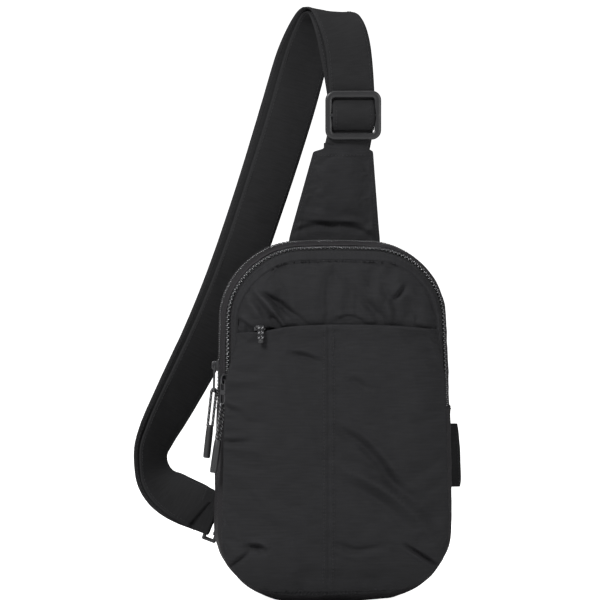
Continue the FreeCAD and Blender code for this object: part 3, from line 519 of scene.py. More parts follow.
def rounded_band(outer, puff, thickness=CLOTH):
    """Closed section of a band: its outer side swells a little, its edges turn in, and it has a thickness."""
    outer = np.array(outer, float)
    far = lengths(outer)
    at = np.linspace(0, far[-1], max(9, round(far[-1] / 1.6)))
    face = np.stack([np.interp(at, far, outer[:, 0]), np.interp(at, far, outer[:, 1])], axis=1)
    face[:, 1] -= puff * np.sin(math.pi * (at / far[-1])) ** 0.7
    inner = face[::-1] + [0, thickness]
    face[[0, -1], 1] += thickness * 0.3
    return np.vstack([face, inner])


def ripple(grid, path, seed, size=0.45, seams=()):
    """Puckers beside the seams and slow buckles between them, pushed along the outward direction."""
    outward = path[1]
    push = 0.5 * waves(grid, 38, seed) + 0.25 * waves(grid * [1, 0.5, 1], 15, seed + 1)
    for seam in seams:
        near = np.exp(-np.abs(-grid[..., 1] - seam) / 3.0)
        push = push + near * waves(grid * [1, 0.25, 1], 7, seed + 2) * 0.7
    moved = grid.copy()
    moved[..., 0] += outward[:, None, 0] * push * size
    moved[..., 2] += outward[:, None, 1] * push * size
    return moved


# Turned edge of the gusset at the back seam, rows of (depth, inset).
BACK_RIM = [(0.7, BACK_INSET + 0.9), (0.9, BACK_INSET), (2.0, 3.1), (7, 1.2)]


def outward_of(path):
    """Outward directions along an outline, as directions of the whole frame."""
    return np.stack([path[1][:, 0], np.zeros(len(path[1])), path[1][:, 1]], axis=1)


def build_upper_bands(threads):
    """The two bands of the gusset above the zips' ends, each with a row of stitches."""
    main_front = MAIN_ZIP[0] + ZIP_WIDTH
    front_back = FRONT_ZIP[0]
    path = around(BAND_STEP, ZIP_END)
    bands = (
        ("rear_band", BACK_RIM + [(MAIN_ZIP[0] - 0.6, 0.1), (MAIN_ZIP[0] + 1.2, 0.3)], 0.8,
         (0.7, MAIN_ZIP[0]), "rear_gusset", (MAIN_ZIP[0] - 1.8, -0.5)),
        ("middle_band", [(main_front - 1.2, 0.3), (main_front + 0.6, -0.1), (33, -0.2),
                         (front_back - 1.5, 0.2), (front_back + 0.9, 0.9)], 0.7,
         (main_front, front_back), "middle_gusset", (main_front + 1.9, -0.7)),
    )
    for name, outer, puff, seams, node, sewn in bands:
        grid = ripple(lay(path, rounded_band(outer, puff)), path, len(name), seams=seams)
        on_body(skin(name, settle(grid), GUSSET_NYLON, wrap_columns=True), "bag", "nylon", node)
        stitch(threads, settle(lay(path, [sewn])[:, 0]), outward_of(path))


def build_lower_band(threads):
    """The band of the gusset below the zips' ends, with a stitched seam across each of its ends."""
    places, outward = right_side(BAND_STEP)
    start = int(np.argmax(places[:, 1] < ZIP_END + 0.5))
    flip = np.array([-1, 1])
    path = (np.vstack([places[start:], (places[start:-1] * flip)[::-1]]),
            np.vstack([outward[start:], (outward[start:-1] * flip)[::-1]]))
    seam = zip_point(FRONT_ZIP, ZIP_WIDTH, 0.3)
    outer = BACK_RIM + [(MAIN_ZIP[0], 0.0), (28, -0.3), (FRONT_ZIP[0], 0.1), (48, 3.2), seam]
    grid = ripple(lay(path, rounded_band(outer, 0.9)), path, 31, 0.7, (0.7, BORDER_DEPTH))
    lifted = smooth((grid[..., 2:3] - ZIP_END + 7) / 6) * 0.5
    grid = grid + lifted * outward_of(path)[:, None]
    on_body(skin("lower_band", settle(grid), GUSSET_NYLON, wrap_columns=True), "bag", "nylon", "lower_gusset")
    half, height = places[int(np.argmin(np.abs(places[:, 1] - ZIP_END + 2)))]
    for side in (-1, 1):
        row = [(side * (half + 1.3), -depth, height) for depth in (4, 14, 24, 34, 43)]
        stitch(threads, settle(np.array(row)), (side, 0, 0))


def build_border():
    """Narrow strip between the front zip and the seam of the front panel."""
    path = around(BAND_STEP)
    start = zip_point(FRONT_ZIP, ZIP_WIDTH - 0.2, 0.3)
    outer = [(start[0] - 0.8, start[1] - 0.2), (start[0] + 0.3, start[1] - 0.5), (54.6, 6.9), (56.4, 7.7),
             (57.0, 8.8), (56.4, 9.8), (55.6, 10.6)]
    grid = ripple(lay(path, rounded_band(outer, 0.35)), path, 41, 0.35, (BORDER_DEPTH, FRONT_DEPTH))
    on_body(skin("front_edge_strip", settle(grid), NYLON, wrap_rows=True, wrap_columns=True),
            "bag", "nylon", "front_border")


# ---------------------------------------------------------------- front panel and pocket

def rows_of_panel(inset, drop, low, high, step, columns):
    """Grid of (x, z) that fills the outline between two heights."""
    places, _ = right_side(step, inset, drop)
    corner = places[(places[:, 0] > 1) | (places[:, 1] > 0)]
    edge = corner[(corner[:, 1] > low + 0.4 * step) & (corner[:, 1] < high - 0.4 * step)]
    edge = edge[edge[:, 0] > HALF_LOW - FLARE - TOP_CORNER - 1]
    widths = []
    for height, look in ((high, high - 0.7), (low, low + 0.7)):
        near = np.interp(look, places[::-1, 1], places[::-1, 0])
        flat = HALF_LOW - (FLARE + TOP_CORNER if height > 0 else BOTTOM_CORNER)
        widths.append(max(near, flat))
    edge = np.vstack([[widths[0], high], edge, [widths[1], low]])
    across = np.linspace(-1, 1, columns)
    x = edge[:, :1] * across
    z = np.broadcast_to(edge[:, 1:], x.shape).copy()
    return x, z


def from_seam(x, z):
    """Distance from the front panel's seam."""
    places, _ = right_side(3.0, FRONT_INSET, FRONT_DROP)
    whole = np.vstack([places, places * [-1, 1]])
    points = np.stack([x, z], axis=-1).reshape(-1, 1, 2)
    nearest = np.full(len(points), 1e9)
    for part in np.array_split(whole, 8):
        nearest = np.minimum(nearest, np.linalg.norm(points - part, axis=2).min(axis=1))
    return nearest.reshape(x.shape)


def mouth_height(x):
    """Height of the pocket's upper edge: nearly level, and lower towards the sides."""
    return MOUTH + 1.2 - 5.5 * np.abs(x / 82) ** 3 - 1.6 * np.exp(-((x - SLIDER_X) / 13) ** 2)


def crease(x, z, path, width, height, valley=0.0):
    """Ridge along a short curved path, fading at its ends, with a valley on its left side if asked for."""
    line = curve(path, 30)
    points = np.stack([x, z], axis=-1).reshape(-1, 1, 2)
    apart = points - line
    far = np.linalg.norm(apart, axis=2)
    near = far.argmin(axis=1)
    along = unit(np.gradient(line, axis=0))[near]
    offset = apart[np.arange(len(near)), near]
    side = np.sign(along[:, 0] * offset[:, 1] - along[:, 1] * offset[:, 0])
    across = far[np.arange(len(near)), near] * side
    share = near / (len(line) - 1)
    fade = np.sin(math.pi * np.clip(share * 0.9 + 0.05, 0, 1)) ** 0.8
    shape = np.exp(-(across / width) ** 2) - valley * np.exp(-((across - 1.7 * width) / width) ** 2)
    return (height * shape * fade).reshape(x.shape)


# Folds of the cloth, (x, z) paths with width, height (negative is a valley) and the valley beside a ridge.
UPPER_FOLDS = (
    ([(-70, 111), (-58, 98), (-49, 86), (-43, 78)], 3.0, 4.6, 0.0),
    ([(-64, 107), (-52, 100), (-42, 93), (-27, 80)], 2.6, -4.6, 0.0),
    ([(-56, 90), (-51, 84), (-47, 78)], 2.4, -4.0, 0.0),
    ([(-76, 103), (-68, 93), (-62, 82)], 3.5, 2.2, 0.5),
    ([(-84, 87), (-77, 81), (-70, 77)], 2.4, -3.6, 0.4),
    ([(-2, 84), (8, 86), (19, 83)], 2.2, -2.2, 0.5),
    ([(44, 100), (49, 105), (55, 112)], 2.2, -2.6, 0.4),
    ([(14, 106), (26, 94), (36, 82)], 3.6, -2.2, 0.4),
    ([(28, 108), (38, 97), (44, 83)], 3.6, 1.8, 0.5),
    ([(-6, 124), (4, 114), (16, 108)], 3.4, -0.9, 0.3),
    ([(56, 108), (66, 98), (71, 84)], 4.0, 0.9, 0.5),
)
POCKET_FOLDS = (
    ([(-40, 58), (-28, 56), (-15, 51)], 2.4, -1.9, 0.6),
    ([(-88, 20), (-81, 16), (-70, 8)], 2.6, -2.2, 0.6),
    ([(-86, 45), (-72, 36), (-60, 33)], 4.5, 1.2, 0.5),
    ([(-88, -12), (-78, -14), (-66, -13)], 2.6, -2.0, 0.4),
    ([(7, 38), (16, 33), (24, 28)], 3.2, -1.4, 0.5),
    ([(-3, -3), (17, -15), (36, -36), (46, -52)], 4.0, -2.8, 0.5),
    ([(-3, -33), (26, -46), (54, -67), (73, -94)], 4.8, 3.3, 0.45),
    ([(2, -46), (20, -54), (40, -68), (56, -86)], 4.5, -2.0, 0.0),
    ([(-62, -60), (-50, -72), (-30, -78)], 6.0, 1.4, 0.6),
    ([(-84, -70), (-78, -82), (-76, -96)], 3.0, -1.0, 0.5),
    ([(-82, -117), (-73, -108), (-64, -98)], 1.7, -2.6, 0.0),
    ([(-68, -96), (-62, -97), (-57, -101)], 2.2, -3.2, 0.5),
    ([(74, -113), (63, -105), (52, -97)], 1.6, -3.4, 0.3),
    ([(36, -98), (14, -101), (-4, -96)], 3.0, -1.8, 0.5),
    ([(-30, -118), (10, -122), (48, -120)], 5.0, -0.9, 0.4),
    ([(60, 60), (66, 30), (64, 5)], 9.0, 0.7, 0.3),
)


def folded(x, z, folds, seed, strength):
    """Height of all folds together, with soft unevenness and puckers beside the seam."""
    height = strength * sum(crease(x, z, *fold) for fold in folds)
    flat = sheet_at(x, z, 0)
    inside = from_seam(x, z)
    height = height + 0.5 * waves(flat, 46, seed) * smooth(inside / 20)
    height = height + 0.24 * waves(flat, 15, seed + 1)
    height = height + 0.45 * np.exp(-inside / 5) * waves(flat, 8, seed + 2)
    return height * smooth(inside / 3)


def front_depth(x, z):
    """Depth of the front before it is filled: steep beside the seam, then a shallow crown."""
    inside = from_seam(x, z)
    rise = (1 - (1 - np.clip(inside / 36, 0, 1)) ** 2.6) * 9.5
    crown = 1.4 * np.cos(x / 62) * np.cos((z + 30) / 90)
    return FRONT_DEPTH - 0.6 + rise + crown


def before_lining(places):
    """How far back the front cloth may be pressed: just before the pocket's lining."""
    inside = from_seam(places[:, 0], places[:, 2])
    return -(FRONT_DEPTH - 1 + 2.9 * smooth((inside - 2) / 4))


def sheet_at(x, z, depth):
    """Grid of places from widths, heights and depths."""
    return np.stack([x, np.broadcast_to(-depth, x.shape), z], axis=-1)


def subdivided(piece):
    """Apply one subdivision to a mesh."""
    rounding = piece.modifiers.new("rounding", "SUBSURF")
    rounding.levels = rounding.render_levels = 1
    mesh = bpy.data.meshes.new_from_object(piece.evaluated_get(bpy.context.evaluated_depsgraph_get()))
    piece.modifiers.clear()
    piece.data = mesh
    mesh.polygons.foreach_set("use_smooth", [True] * len(mesh.polygons))
    return piece


def border_of(rows, columns):
    """True for the points on the edge of a grid."""
    edge = np.zeros((rows, columns), bool)
    edge[[0, -1]] = True
    edge[:, [0, -1]] = True
    return edge.ravel()


def facing_front(piece):
    """Turn a sheet's faces so that its outer side looks to the front."""
    normals = np.empty(len(piece.data.polygons) * 3)
    piece.data.polygons.foreach_get("normal", normals)
    if normals.reshape(-1, 3)[:, 1].sum() > 0:
        piece.data.flip_normals()
    return piece


def build_upper_panel():
    """Panel above the pocket, draped behind the pocket's upper edge."""
    x, z = rows_of_panel(FRONT_INSET - 0.2, FRONT_DROP, MOUTH - 4, TOP - FRONT_INSET - FRONT_DROP,
                         step=2.4, columns=81)
    # Its lower edge follows the pocket's mouth, and lifts beside the pocket's slider.
    z = z + (mouth_height(x) - MOUTH) * smooth((MOUTH + 34 - z) / 34)
    gap = np.exp(-((x - SLIDER_X - 6) / 9) ** 2)
    z = z + 5.5 * gap * smooth((MOUTH + 14 - z) / 16)
    fullest = 67.4
    depth = np.minimum(front_depth(x, z) - 0.6, fullest) + 0.8 * gap
    piece = facing_front(skin("upper_front_panel", settle(sheet_at(x, z, depth)), NYLON))
    inflate(piece, border_of(*x.shape), pressure=3.0, growth=0.035, cap=2.4)
    subdivided(piece)
    # Folds and the tuck behind the pocket's edge, kept clear of the pocket's zip and lining.
    places = coordinates(piece)
    push = folded(places[:, 0], places[:, 2], UPPER_FOLDS, seed=51, strength=1.4)
    above = places[:, 2] - mouth_height(places[:, 0])
    tucked = smooth((3 - above) / 6) * 1.6
    places[:, 1] -= push - tucked
    zip_front = -64.6 + 9 * smooth((np.abs(places[:, 0]) - 60) / 12) + 7 * smooth((above - 5) / 12)
    places[:, 1] = np.minimum(places[:, 1], zip_front)
    places[:, 1] = np.minimum(places[:, 1], before_lining(places))
    move_to(piece, places)
    return on_body(thicken(piece, 1.0, 0), "bag", "nylon", "front_panel")


def build_pocket():
    """Front pocket with its centre seam, folds and darts, and the hem of its mouth."""
    x, z = rows_of_panel(FRONT_INSET - 0.2, FRONT_DROP, BOTTOM + FRONT_INSET, MOUTH - 0.5,
                         step=2.6, columns=83)
    z = z + (mouth_height(x) - MOUTH) * smooth((z - MOUTH + 44) / 44)
    # Towards the hem the crown gives way to a fuller lip.
    hem = smooth((z - MOUTH + HEM) / HEM)
    inside = from_seam(x, z)
    depth = front_depth(x, z) + 1.2 * smooth(inside / 20)
    lip = FRONT_DEPTH - 0.4 + 12.3 * (1 - (1 - np.clip(inside / 30, 0, 1)) ** 2.6)
    depth = depth * (1 - hem) + lip * hem
    piece = facing_front(skin("front_pocket", settle(sheet_at(x, z, depth)), NYLON))
    inflate(piece, border_of(*x.shape), pressure=3.0, growth=0.03, cap=2.6)
    subdivided(piece)
    # Folds, which fade out at the hem.
    places = coordinates(piece)
    push = folded(places[:, 0], places[:, 2], POCKET_FOLDS, seed=61, strength=1.5)
    push = push * (1 - 0.9 * smooth((places[:, 2] - mouth_height(places[:, 0]) + 8) / 8))
    # The cloth swells out over the seam at the sides and at the bottom.
    side = np.clip(places[:, 0] / 60, -1, 1)
    low = smooth((-places[:, 2] - 60) / 50)
    inside = from_seam(places[:, 0], places[:, 2])
    plump = smooth(inside / 3.2) * np.exp(-(inside / 22) ** 2)
    below_mouth = smooth((MOUTH - places[:, 2]) / 50)
    limit = before_lining(places)
    places[:, 0] += plump * below_mouth * np.where(side < 0, 12, 8) * side
    places[:, 2] -= plump * 3.5 * low
    # The centre seam is a thin groove between two low ridges, with puckers across them.
    off = places[:, 0] - SEAM_X
    pucker = 0.25 * np.exp(-np.abs(off) / 5) * waves(places * [0.3, 0, 1], 9, 71)
    push += pucker - 0.55 * np.exp(-(off / 0.9) ** 2) + 0.35 * np.exp(-((np.abs(off) - 2.4) / 1.8) ** 2)
    places[:, 1] = np.minimum(places[:, 1] - push, limit)
    move_to(piece, places)
    return on_body(thicken(piece, 1.3, 0), "bag", "nylon", "pocket_panel_left", "pocket_panel_right")


def surface_of(piece):
    """Search tree of a piece as it is shown."""
    return BVHTree.FromObject(piece, bpy.context.evaluated_depsgraph_get())


def on_surface(tree, path):
    """Points of an (x, z) path dropped on a surface from the front, with the surface's directions there."""
    places, lifts = [], []
    for x, z in path:
        hit, normal, _, _ = tree.ray_cast(Vector((x * MM, -0.2, z * MM)), Vector((0, 1, 0)))
        if hit is not None:
            places.append(np.array(hit) / MM)
            lifts.append(np.array(normal) * (-1 if normal.y > 0 else 1))
    return np.array(places), np.array(lifts)


def sew_front(pocket, threads):
    """Topstitching beside the pocket's centre seam, with a bar tack."""
    tree = surface_of(pocket)
    heights = np.linspace(MOUTH - 2, BOTTOM + FRONT_INSET + 6, 120)
    for off in (-4.3, -3.2, 3.2, 4.3):
        row = np.stack([SEAM_X + off + 0.25 * np.sin(heights / 17), heights], axis=1)
        places, lifts = on_surface(tree, row)
        stitch(threads, places, lifts, pitch=3.1, length=2.2)
    for step in range(9):
        tack = [(SEAM_X + 3.0, MOUTH - 10 - step), (SEAM_X + 4.6, MOUTH - 10 - step)]
        places, lifts = on_surface(tree, tack)
        stitch(threads, np.vstack([places, places[-1:] + [0.9, 0, 0]]), lifts[:1].repeat(3, axis=0),
               pitch=9, length=1.7)


# ---------------------------------------------------------------- back, linings and divider

def build_back(threads):
    """Padded back panel, quilted in three upright channels."""
    inset = BACK_INSET + 0.9
    x, z = rows_of_panel(inset, 0, BOTTOM + inset, TOP - inset, step=3.2, columns=71)
    places = sheet_at(x, z, -0.3)
    quilt, margin = 0.36, 34
    share = x / np.abs(x).max(axis=1, keepdims=True)
    columns = [int(np.argmin(np.abs(share[0] - at))) for at in (-quilt, quilt)]
    sewn = border_of(*x.shape).reshape(x.shape)
    kept = [(z[:, column] < TOP - margin) & (z[:, column] > BOTTOM + margin) for column in columns]
    for column, rows in zip(columns, kept):
        sewn[rows, column] = True
    inside = np.clip(np.minimum(1 - np.abs(share), np.abs(np.abs(share) - quilt)) / 0.16, 0, 1)
    upright = smooth(np.minimum(TOP - 10 - z, z - BOTTOM - 10) / 24)
    places[..., 1] += 1.8 * (1 - (1 - inside) ** 2) * upright
    piece = facing_front(skin("padded_back", settle(places), BACK_CLOTH))
    piece.data.flip_normals()
    inflate(piece, sewn.ravel(), pressure=3.0, growth=0.02, cap=1.4)
    places = coordinates(piece)
    places[:, 1] += 0.22 * waves(places, 17, 81) * smooth(np.maximum(places[:, 1], 0) / 1.5)
    move_to(piece, places)
    on_body(thicken(piece, 5.4, 0), "bag", "nylon", "back_panel", "back_foam", "back_lining")
    tree = surface_of(piece)
    for column, rows in zip(columns, kept):
        row = []
        for place in settle(places.reshape(*x.shape, 3)[rows, column]):
            hit, _, _, _ = tree.ray_cast(Vector((place[0] * MM, 0.2, place[2] * MM)), Vector((0, -1, 0)))
            row.append(np.array(hit) / MM)
        stitch(threads, np.array(row), (0, 1, 0), pitch=4, length=2.9)


def build_linings():
    """Divider between the compartments and the lining behind the front pocket."""
    linings = (("divider_lining", "divider", 5, 91), ("pocket_bag", "pocket_lining", 14, 92))
    for name, node, inset, seed in linings:
        depth = -(span(node)[0][1] + span(node)[1][1]) / 2
        x, z = rows_of_panel(inset, 0, BOTTOM + inset, TOP - inset - FRONT_DROP, step=5, columns=41)
        grid = sheet_at(x, z, depth + 0.5 * waves(sheet_at(x, z, 0), 40, seed))
        on_body(thicken(facing_front(skin(name, settle(grid), LINING)), 0.6, 0), "bag", "lining", node)


# ---------------------------------------------------------------- zips

def tooth(centre, along, across, out, side):
    """One turn of a zip coil, bent over from the tape to a head that passes the middle line."""
    profile = ((1.9, -0.7, 0.4), (1.85, 0.4, 0.5), (1.2, 1.0, 0.55), (0.4, 1.1, 0.6), (-0.4, 0.8, 0.55),
               (-0.55, 0.0, 0.36))
    path = [centre + across * side * run + out * rise for run, rise, _ in profile]
    return tube(path, [radius for _, _, radius in profile], 6, up=along)


def teeth(path_points, directions, name, body, nodes):
    """Two rows of coil turns that mesh along a line; directions are (along, across, out)."""
    along, across, out = directions
    for side, node in zip((-1, 1), nodes):
        bundle = Bundle()
        line, a, b, c = resample(path_points, TOOTH_PITCH, along, across, out)
        for i in range(len(line) - 1):
            t = 0.25 if side < 0 else 0.75
            middle = line[i] * (1 - t) + line[i + 1] * t
            bundle.add(*tooth(middle, unit(a[i]), unit(b[i]), unit(c[i]), side))
        on_body(bundle.piece(f"{name}_{'rear' if side < 0 else 'front'}_teeth", COIL), body, "zip_coil", node)


def build_zip(label, kind, threads):
    """U-shaped coil zip: two tapes and two rows of teeth."""
    path = around(2.0, ZIP_END + 0.4)
    middle = ZIP_WIDTH / 2
    for side, start, end in (("rear", -0.6, middle - 0.6), ("front", middle + 0.6, ZIP_WIDTH + 0.6)):
        runs = np.linspace(start, end, 7)
        top = [zip_point(kind, run, -0.7) for run in runs]
        under = [zip_point(kind, run, -1.4) for run in reversed(runs)]
        grid = settle(lay(path, top + under))
        on_body(skin(f"{label}_{side}_tape", grid, TAPE, wrap_columns=True), "bag", "zip_tape",
                f"{label}_{side}_tape")
    centre = settle(lay(path, [zip_point(kind, middle, 0.0)]))[:, 0]
    raised = settle(lay(path, [zip_point(kind, middle, 1.0)]))[:, 0]
    beside = settle(lay(path, [zip_point(kind, middle + 1, 0.0)]))[:, 0]
    directions = (unit(np.gradient(centre, axis=0)), unit(beside - centre), unit(raised - centre))
    teeth(centre, directions, label, "bag", [f"{label}_rear_coil", f"{label}_front_coil"])
    if kind is FRONT_ZIP:
        row = settle(lay(path, [zip_point(kind, ZIP_WIDTH + 1.3, 1.0)]))[:, 0]
        stitch(threads, row, unit(raised - centre), pitch=3.0)


def build_pocket_zip():
    """Straight concealed zip behind the pocket's mouth."""
    for side in ("upper", "lower"):
        low, high = span(f"pocket_zip_{side}_tape")
        x = np.linspace(low[0] + 4, high[0] - 13, 60)
        section = [(low[2], low[1]), (high[2], low[1]), (high[2], high[1]), (low[2], high[1])]
        grid = np.array([[(a, y + 0.1 * math.sin(a / 6), z) for z, y in section] for a in x])
        on_body(skin(f"pocket_zip_{side}_cloth", grid, TAPE, wrap_columns=True), "bag", "zip_tape",
                f"pocket_zip_{side}_tape")
    low, high = span("pocket_zip_upper_coil")
    y = (low[1] + high[1]) / 2
    line = np.array([[low[0] + 4, y, MOUTH], [high[0] - 13, y, MOUTH]])
    fixed = [np.tile(np.array(v, float), (2, 1)) for v in ((1, 0, 0), (0, 0, -1), (0, -1, 0))]
    teeth(line, fixed, "pocket_zip", "bag", ["pocket_zip_upper_coil", "pocket_zip_lower_coil"])


# ---------------------------------------------------------------- cords and pulls

def braid(path, radius, name, body, slot, node, flecks=(1,), strands=8, pitch=5.5):
    """Round braided cord: strands that wind both ways over and under each other, some of them pale."""
    path = resample(path, CORD_STEP)[0]
    far = np.arange(len(path)) * CORD_STEP
    along = unit(np.gradient(path, axis=0))
    reference = np.eye(3)[np.argmin(np.abs(along).sum(axis=0))]
    side = unit(np.cross(along, reference))
    lift = np.cross(side, along)
    dark, pale = Bundle(), Bundle()
    for strand in range(strands):
        way = 1 if strand % 2 else -1
        turn = way * far / pitch * 2 * math.pi + strand * 2 * math.pi / strands
        weave = radius * (0.72 + 0.12 * np.sin(far / pitch * 2 * math.pi * strands / 2 + strand * math.pi))
        line = path + side * (np.cos(turn) * weave)[:, None] + lift * (np.sin(turn) * weave)[:, None]
        (pale if strand in flecks else dark).add(*tube(line, radius * 0.42, 5, up=reference))
    on_body(dark.piece(name, CORD), body, slot, node)
    on_body(pale.piece(name + "_fleck", FLECK), body, slot)


def pull_frame(zip_name, lean):
    """Where a pull cord turns round its link, and its up and outward directions when it leans outwards."""
    joint = JOINTS[zip_name + "_cord_swing"]
    axis = unit(np.array(joint["axis"], float))
    up = unit(np.array(JOINTS[zip_name + "_zip_slide"]["axis"], float))
    out = -unit(np.cross(axis, up))
    return (np.array(joint["pos_m"]) / MM, up * math.cos(lean) - out * math.sin(lean),
            out * math.cos(lean) + up * math.sin(lean))


# Outline of a moulded cord end: how far down, and its radius there.
CORD_END = ((0, 1.9), (0.4, 2.5), (1.4, 2.75), (6, 2.95), (14, 3.0), (24, 3.0), (26.2, 2.85), (27, 2.3))


def build_cords():
    """Flecked cords of the two long pulls, doubled through the eye of the link, and their moulded ends."""
    for zip_name, lean in (("main", math.radians(5)), ("front", math.radians(9))):
        at, up, out = pull_frame(zip_name, lean)
        drop = at[2] - span(zip_name + "_cord_end")[1][2] + 1
        path = [at - up * (drop - 1 + reach) for reach, _ in CORD_END]
        end = make(zip_name + "_pull_end", *tube(path, [radius for _, radius in CORD_END], 28), RUBBER)
        on_body(end, zip_name + "_cord", "hardware", zip_name + "_cord_end")
        half = 1.9
        arch = [at + out * half * math.cos(t) + up * half * math.sin(t) for t in np.linspace(0, math.pi, 9)]
        path = [at + out * half - up * drop] + arch + [at - out * half - up * drop]
        braid(path, 1.05, zip_name + "_pull_cord", zip_name + "_cord", "cord", zip_name + "_cord",
              flecks=(1, 2, 5))


def build_pocket_pull():
    """Flecked cord tab that hangs over the pocket's edge."""
    low, high = span("pocket_pull")
    x, y, top = (low[0] + high[0]) / 2, (low[1] + high[1]) / 2, JOINTS["pocket_pull_swing"]["pos_m"][2] / MM
    half, drop = 1.25, top - low[2] - 1.6
    path = [(x - half, y, top - drop), (x - half, y, top - 0.5)]
    path += [(x - half * math.cos(t), y, top - 0.5 + half * math.sin(t)) for t in np.linspace(0.4, 2.7, 6)]
    path += [(x + half, y, top - 0.5), (x + half, y, top - drop)]
    braid(path, 1.0, "pocket_pull_cord", "pocket_pull", "hardware", "pocket_pull", flecks=(1, 4), pitch=4)
    ends = Bundle()
    ends.add(*tube([(x, y, low[2] + z) for z in (0.1, 0.5, 2.4, 3.2)], [1.5, 2.1, 2.2, 1.7], 14))
    on_body(ends.piece("pocket_pull_tip", RUBBER), "pocket_pull", "hardware")


def finish_hardware():
    """Rounded edges and materials for the sliders, their links and the ring."""
    for zip_name in ("main", "front", "pocket"):
        round_edges(NODES[zip_name + "_slider"], METAL, EDGE_RADIUS)
        round_edges(NODES[zip_name + "_link"], METAL, EDGE_RADIUS)
    round_edges(NODES["lower_ring"], WIRE, 0)


def round_edges(piece, material, radius):
    """Weld a part's mesh, bevel its sharp edges if asked for, and give it a material."""
    piece.data.materials.clear()
    piece.data.materials.append(material)
    piece.data.polygons.foreach_set("use_smooth", [True] * len(piece.data.polygons))
    weld = piece.modifiers.new("weld", "WELD")
    weld.merge_threshold = 0.00002
    if radius:
        bevel = piece.modifiers.new("edges", "BEVEL")
        bevel.width = radius * MM
        bevel.segments = 3
        bevel.limit_method = "ANGLE"
        bevel.angle_limit = math.radians(35)
        bevel.harden_normals = False
    normals = piece.modifiers.new("normals", "WEIGHTED_NORMAL")
    normals.keep_sharp = False


# ---------------------------------------------------------------- strap

def follow(node, start, heading, step=4.0):
    """Cut a swept strap into sections, from a start point on: their middles and its width's directions."""
    mesh = NODES[node].data
    mesh.calc_loop_triangles()
    places = coordinates(NODES[node])
    corners = places[np.array([triangle.vertices[:] for triangle in mesh.loop_triangles])]
    at, heading = np.array(start, float), unit(np.array(heading, float))
    across = np.array([1.0, 0, 0])
    middles, widths = [], []
    while step > 0.5:
        # Cut every triangle with the plane across the heading, and keep the cuts of this layer only.
        high = (corners - at) @ heading
        cuts = []
        for a, b in ((0, 1), (1, 2), (2, 0)):
            cross = high[:, a] * high[:, b] < 0
            share = high[cross, a] / (high[cross, a] - high[cross, b])
            cuts.append(corners[cross, a] + (corners[cross, b] - corners[cross, a]) * share[:, None])
        cuts = np.vstack(cuts)
        across = unit(across - heading * (across @ heading))
        beside, above = (cuts - at) @ across, (cuts - at) @ np.cross(heading, across)
        cuts = cuts[(np.abs(beside) < 24) & (np.abs(above) < 5 + 0.12 * np.abs(beside))]
        # Near the strap's end the section isn't whole: go on in shorter steps.
        if len(cuts) < 4 or np.ptp(cuts @ across) < STRAP_WIDTH * 0.8:
            step /= 2
            at = middles[-1] + heading * step
            continue
        # The width's direction is the one that gives the thinnest section.
        best = None
        for turn in np.radians(np.arange(-12, 12.5, 0.5)):
            trial = across * math.cos(turn) + np.cross(heading, across) * math.sin(turn)
            flat = cuts @ np.cross(heading, trial)
            if best is None or np.ptp(flat) < best[0]:
                best = (np.ptp(flat), trial)
        across = best[1]
        normal = np.cross(heading, across)
        wide, flat = cuts @ across, cuts @ normal
        middle = across * (wide.max() + wide.min()) / 2 + normal * (flat.max() + flat.min()) / 2
        middle = middle + heading * (at @ heading)
        if middles:
            ahead = middle - middles[-1]
            if ahead @ heading < 0.7 * step:
                break
            heading = unit(ahead)
        middles.append(middle)
        widths.append(across)
        at = middle + heading * step
    return np.array(middles), np.array(widths)


def ease(values, passes=2):
    """Average each row with its neighbours, keeping the ends."""
    for _ in range(passes):
        values = np.vstack([values[:1], (values[:-2] + 2 * values[1:-1] + values[2:]) / 4, values[-1:]])
    return values


def strap_path(node, start, heading):
    """Even path of a strap layer with its width and inner directions."""
    middles, widths = follow(node, start, heading)
    middles, widths = resample(ease(middles, 1), 2.5, ease(widths, 4))
    along = unit(np.gradient(middles, axis=0))
    widths = unit(widths - along * (widths * along).sum(axis=1, keepdims=True))
    return middles, widths, np.cross(along, widths)


def strap_section(width, thickness, crown=0.35, columns=19):
    """Closed section of webbing: rounded edges, a sewn groove inside each of them, and a slight crown."""
    half = width / 2
    share = np.linspace(-1, 1, columns)
    off = share * half
    edge = np.sqrt(np.clip(1 - np.clip((np.abs(off) - half + 1.1) / 1.1, 0, 1) ** 2, 0.03, 1))
    groove = 0.22 * np.exp(-((np.abs(off) - half + 2.7) / 0.8) ** 2)
    thick = thickness / 2 * edge + (crown * (1 - share ** 2) - groove) * edge
    return np.stack([np.concatenate([off, off[::-1]]), np.concatenate([-thick, thick[::-1]])], axis=1)


def webbing(name, path, width, thickness, material, seed, crown=0.35, wrinkle=0.25):
    """Flat strap swept along a path, with soft uneven places."""
    middles, widths, inner = path
    section = strap_section(width, thickness, crown)
    grid = (middles[:, None] + widths[:, None] * section[:, :1] + inner[:, None] * section[:, 1:])
    soft = waves(grid, 30, seed) * 0.6 + waves(grid, 12, seed + 1) * 0.25
    grid = grid + inner[:, None] * (soft * wrinkle)[..., None]
    narrow = 1 + 0.006 * waves(middles, 45, seed + 2)
    grid = middles[:, None] + (grid - middles[:, None]) * narrow[:, None, None]
    return skin(name, grid, material, wrap_columns=True)


def sew_strap(bundle, path, width, thickness):
    """Two rows of stitching along a strap, on both of its faces."""
    middles, widths, inner = path
    for side in (-1, 1):
        for face in (-1, 1):
            row = middles + widths * side * (width / 2 - 2.7) + inner * face * (thickness / 2 + 0.02)
            stitch(bundle, row, inner * face, pitch=3.2, length=2.3)


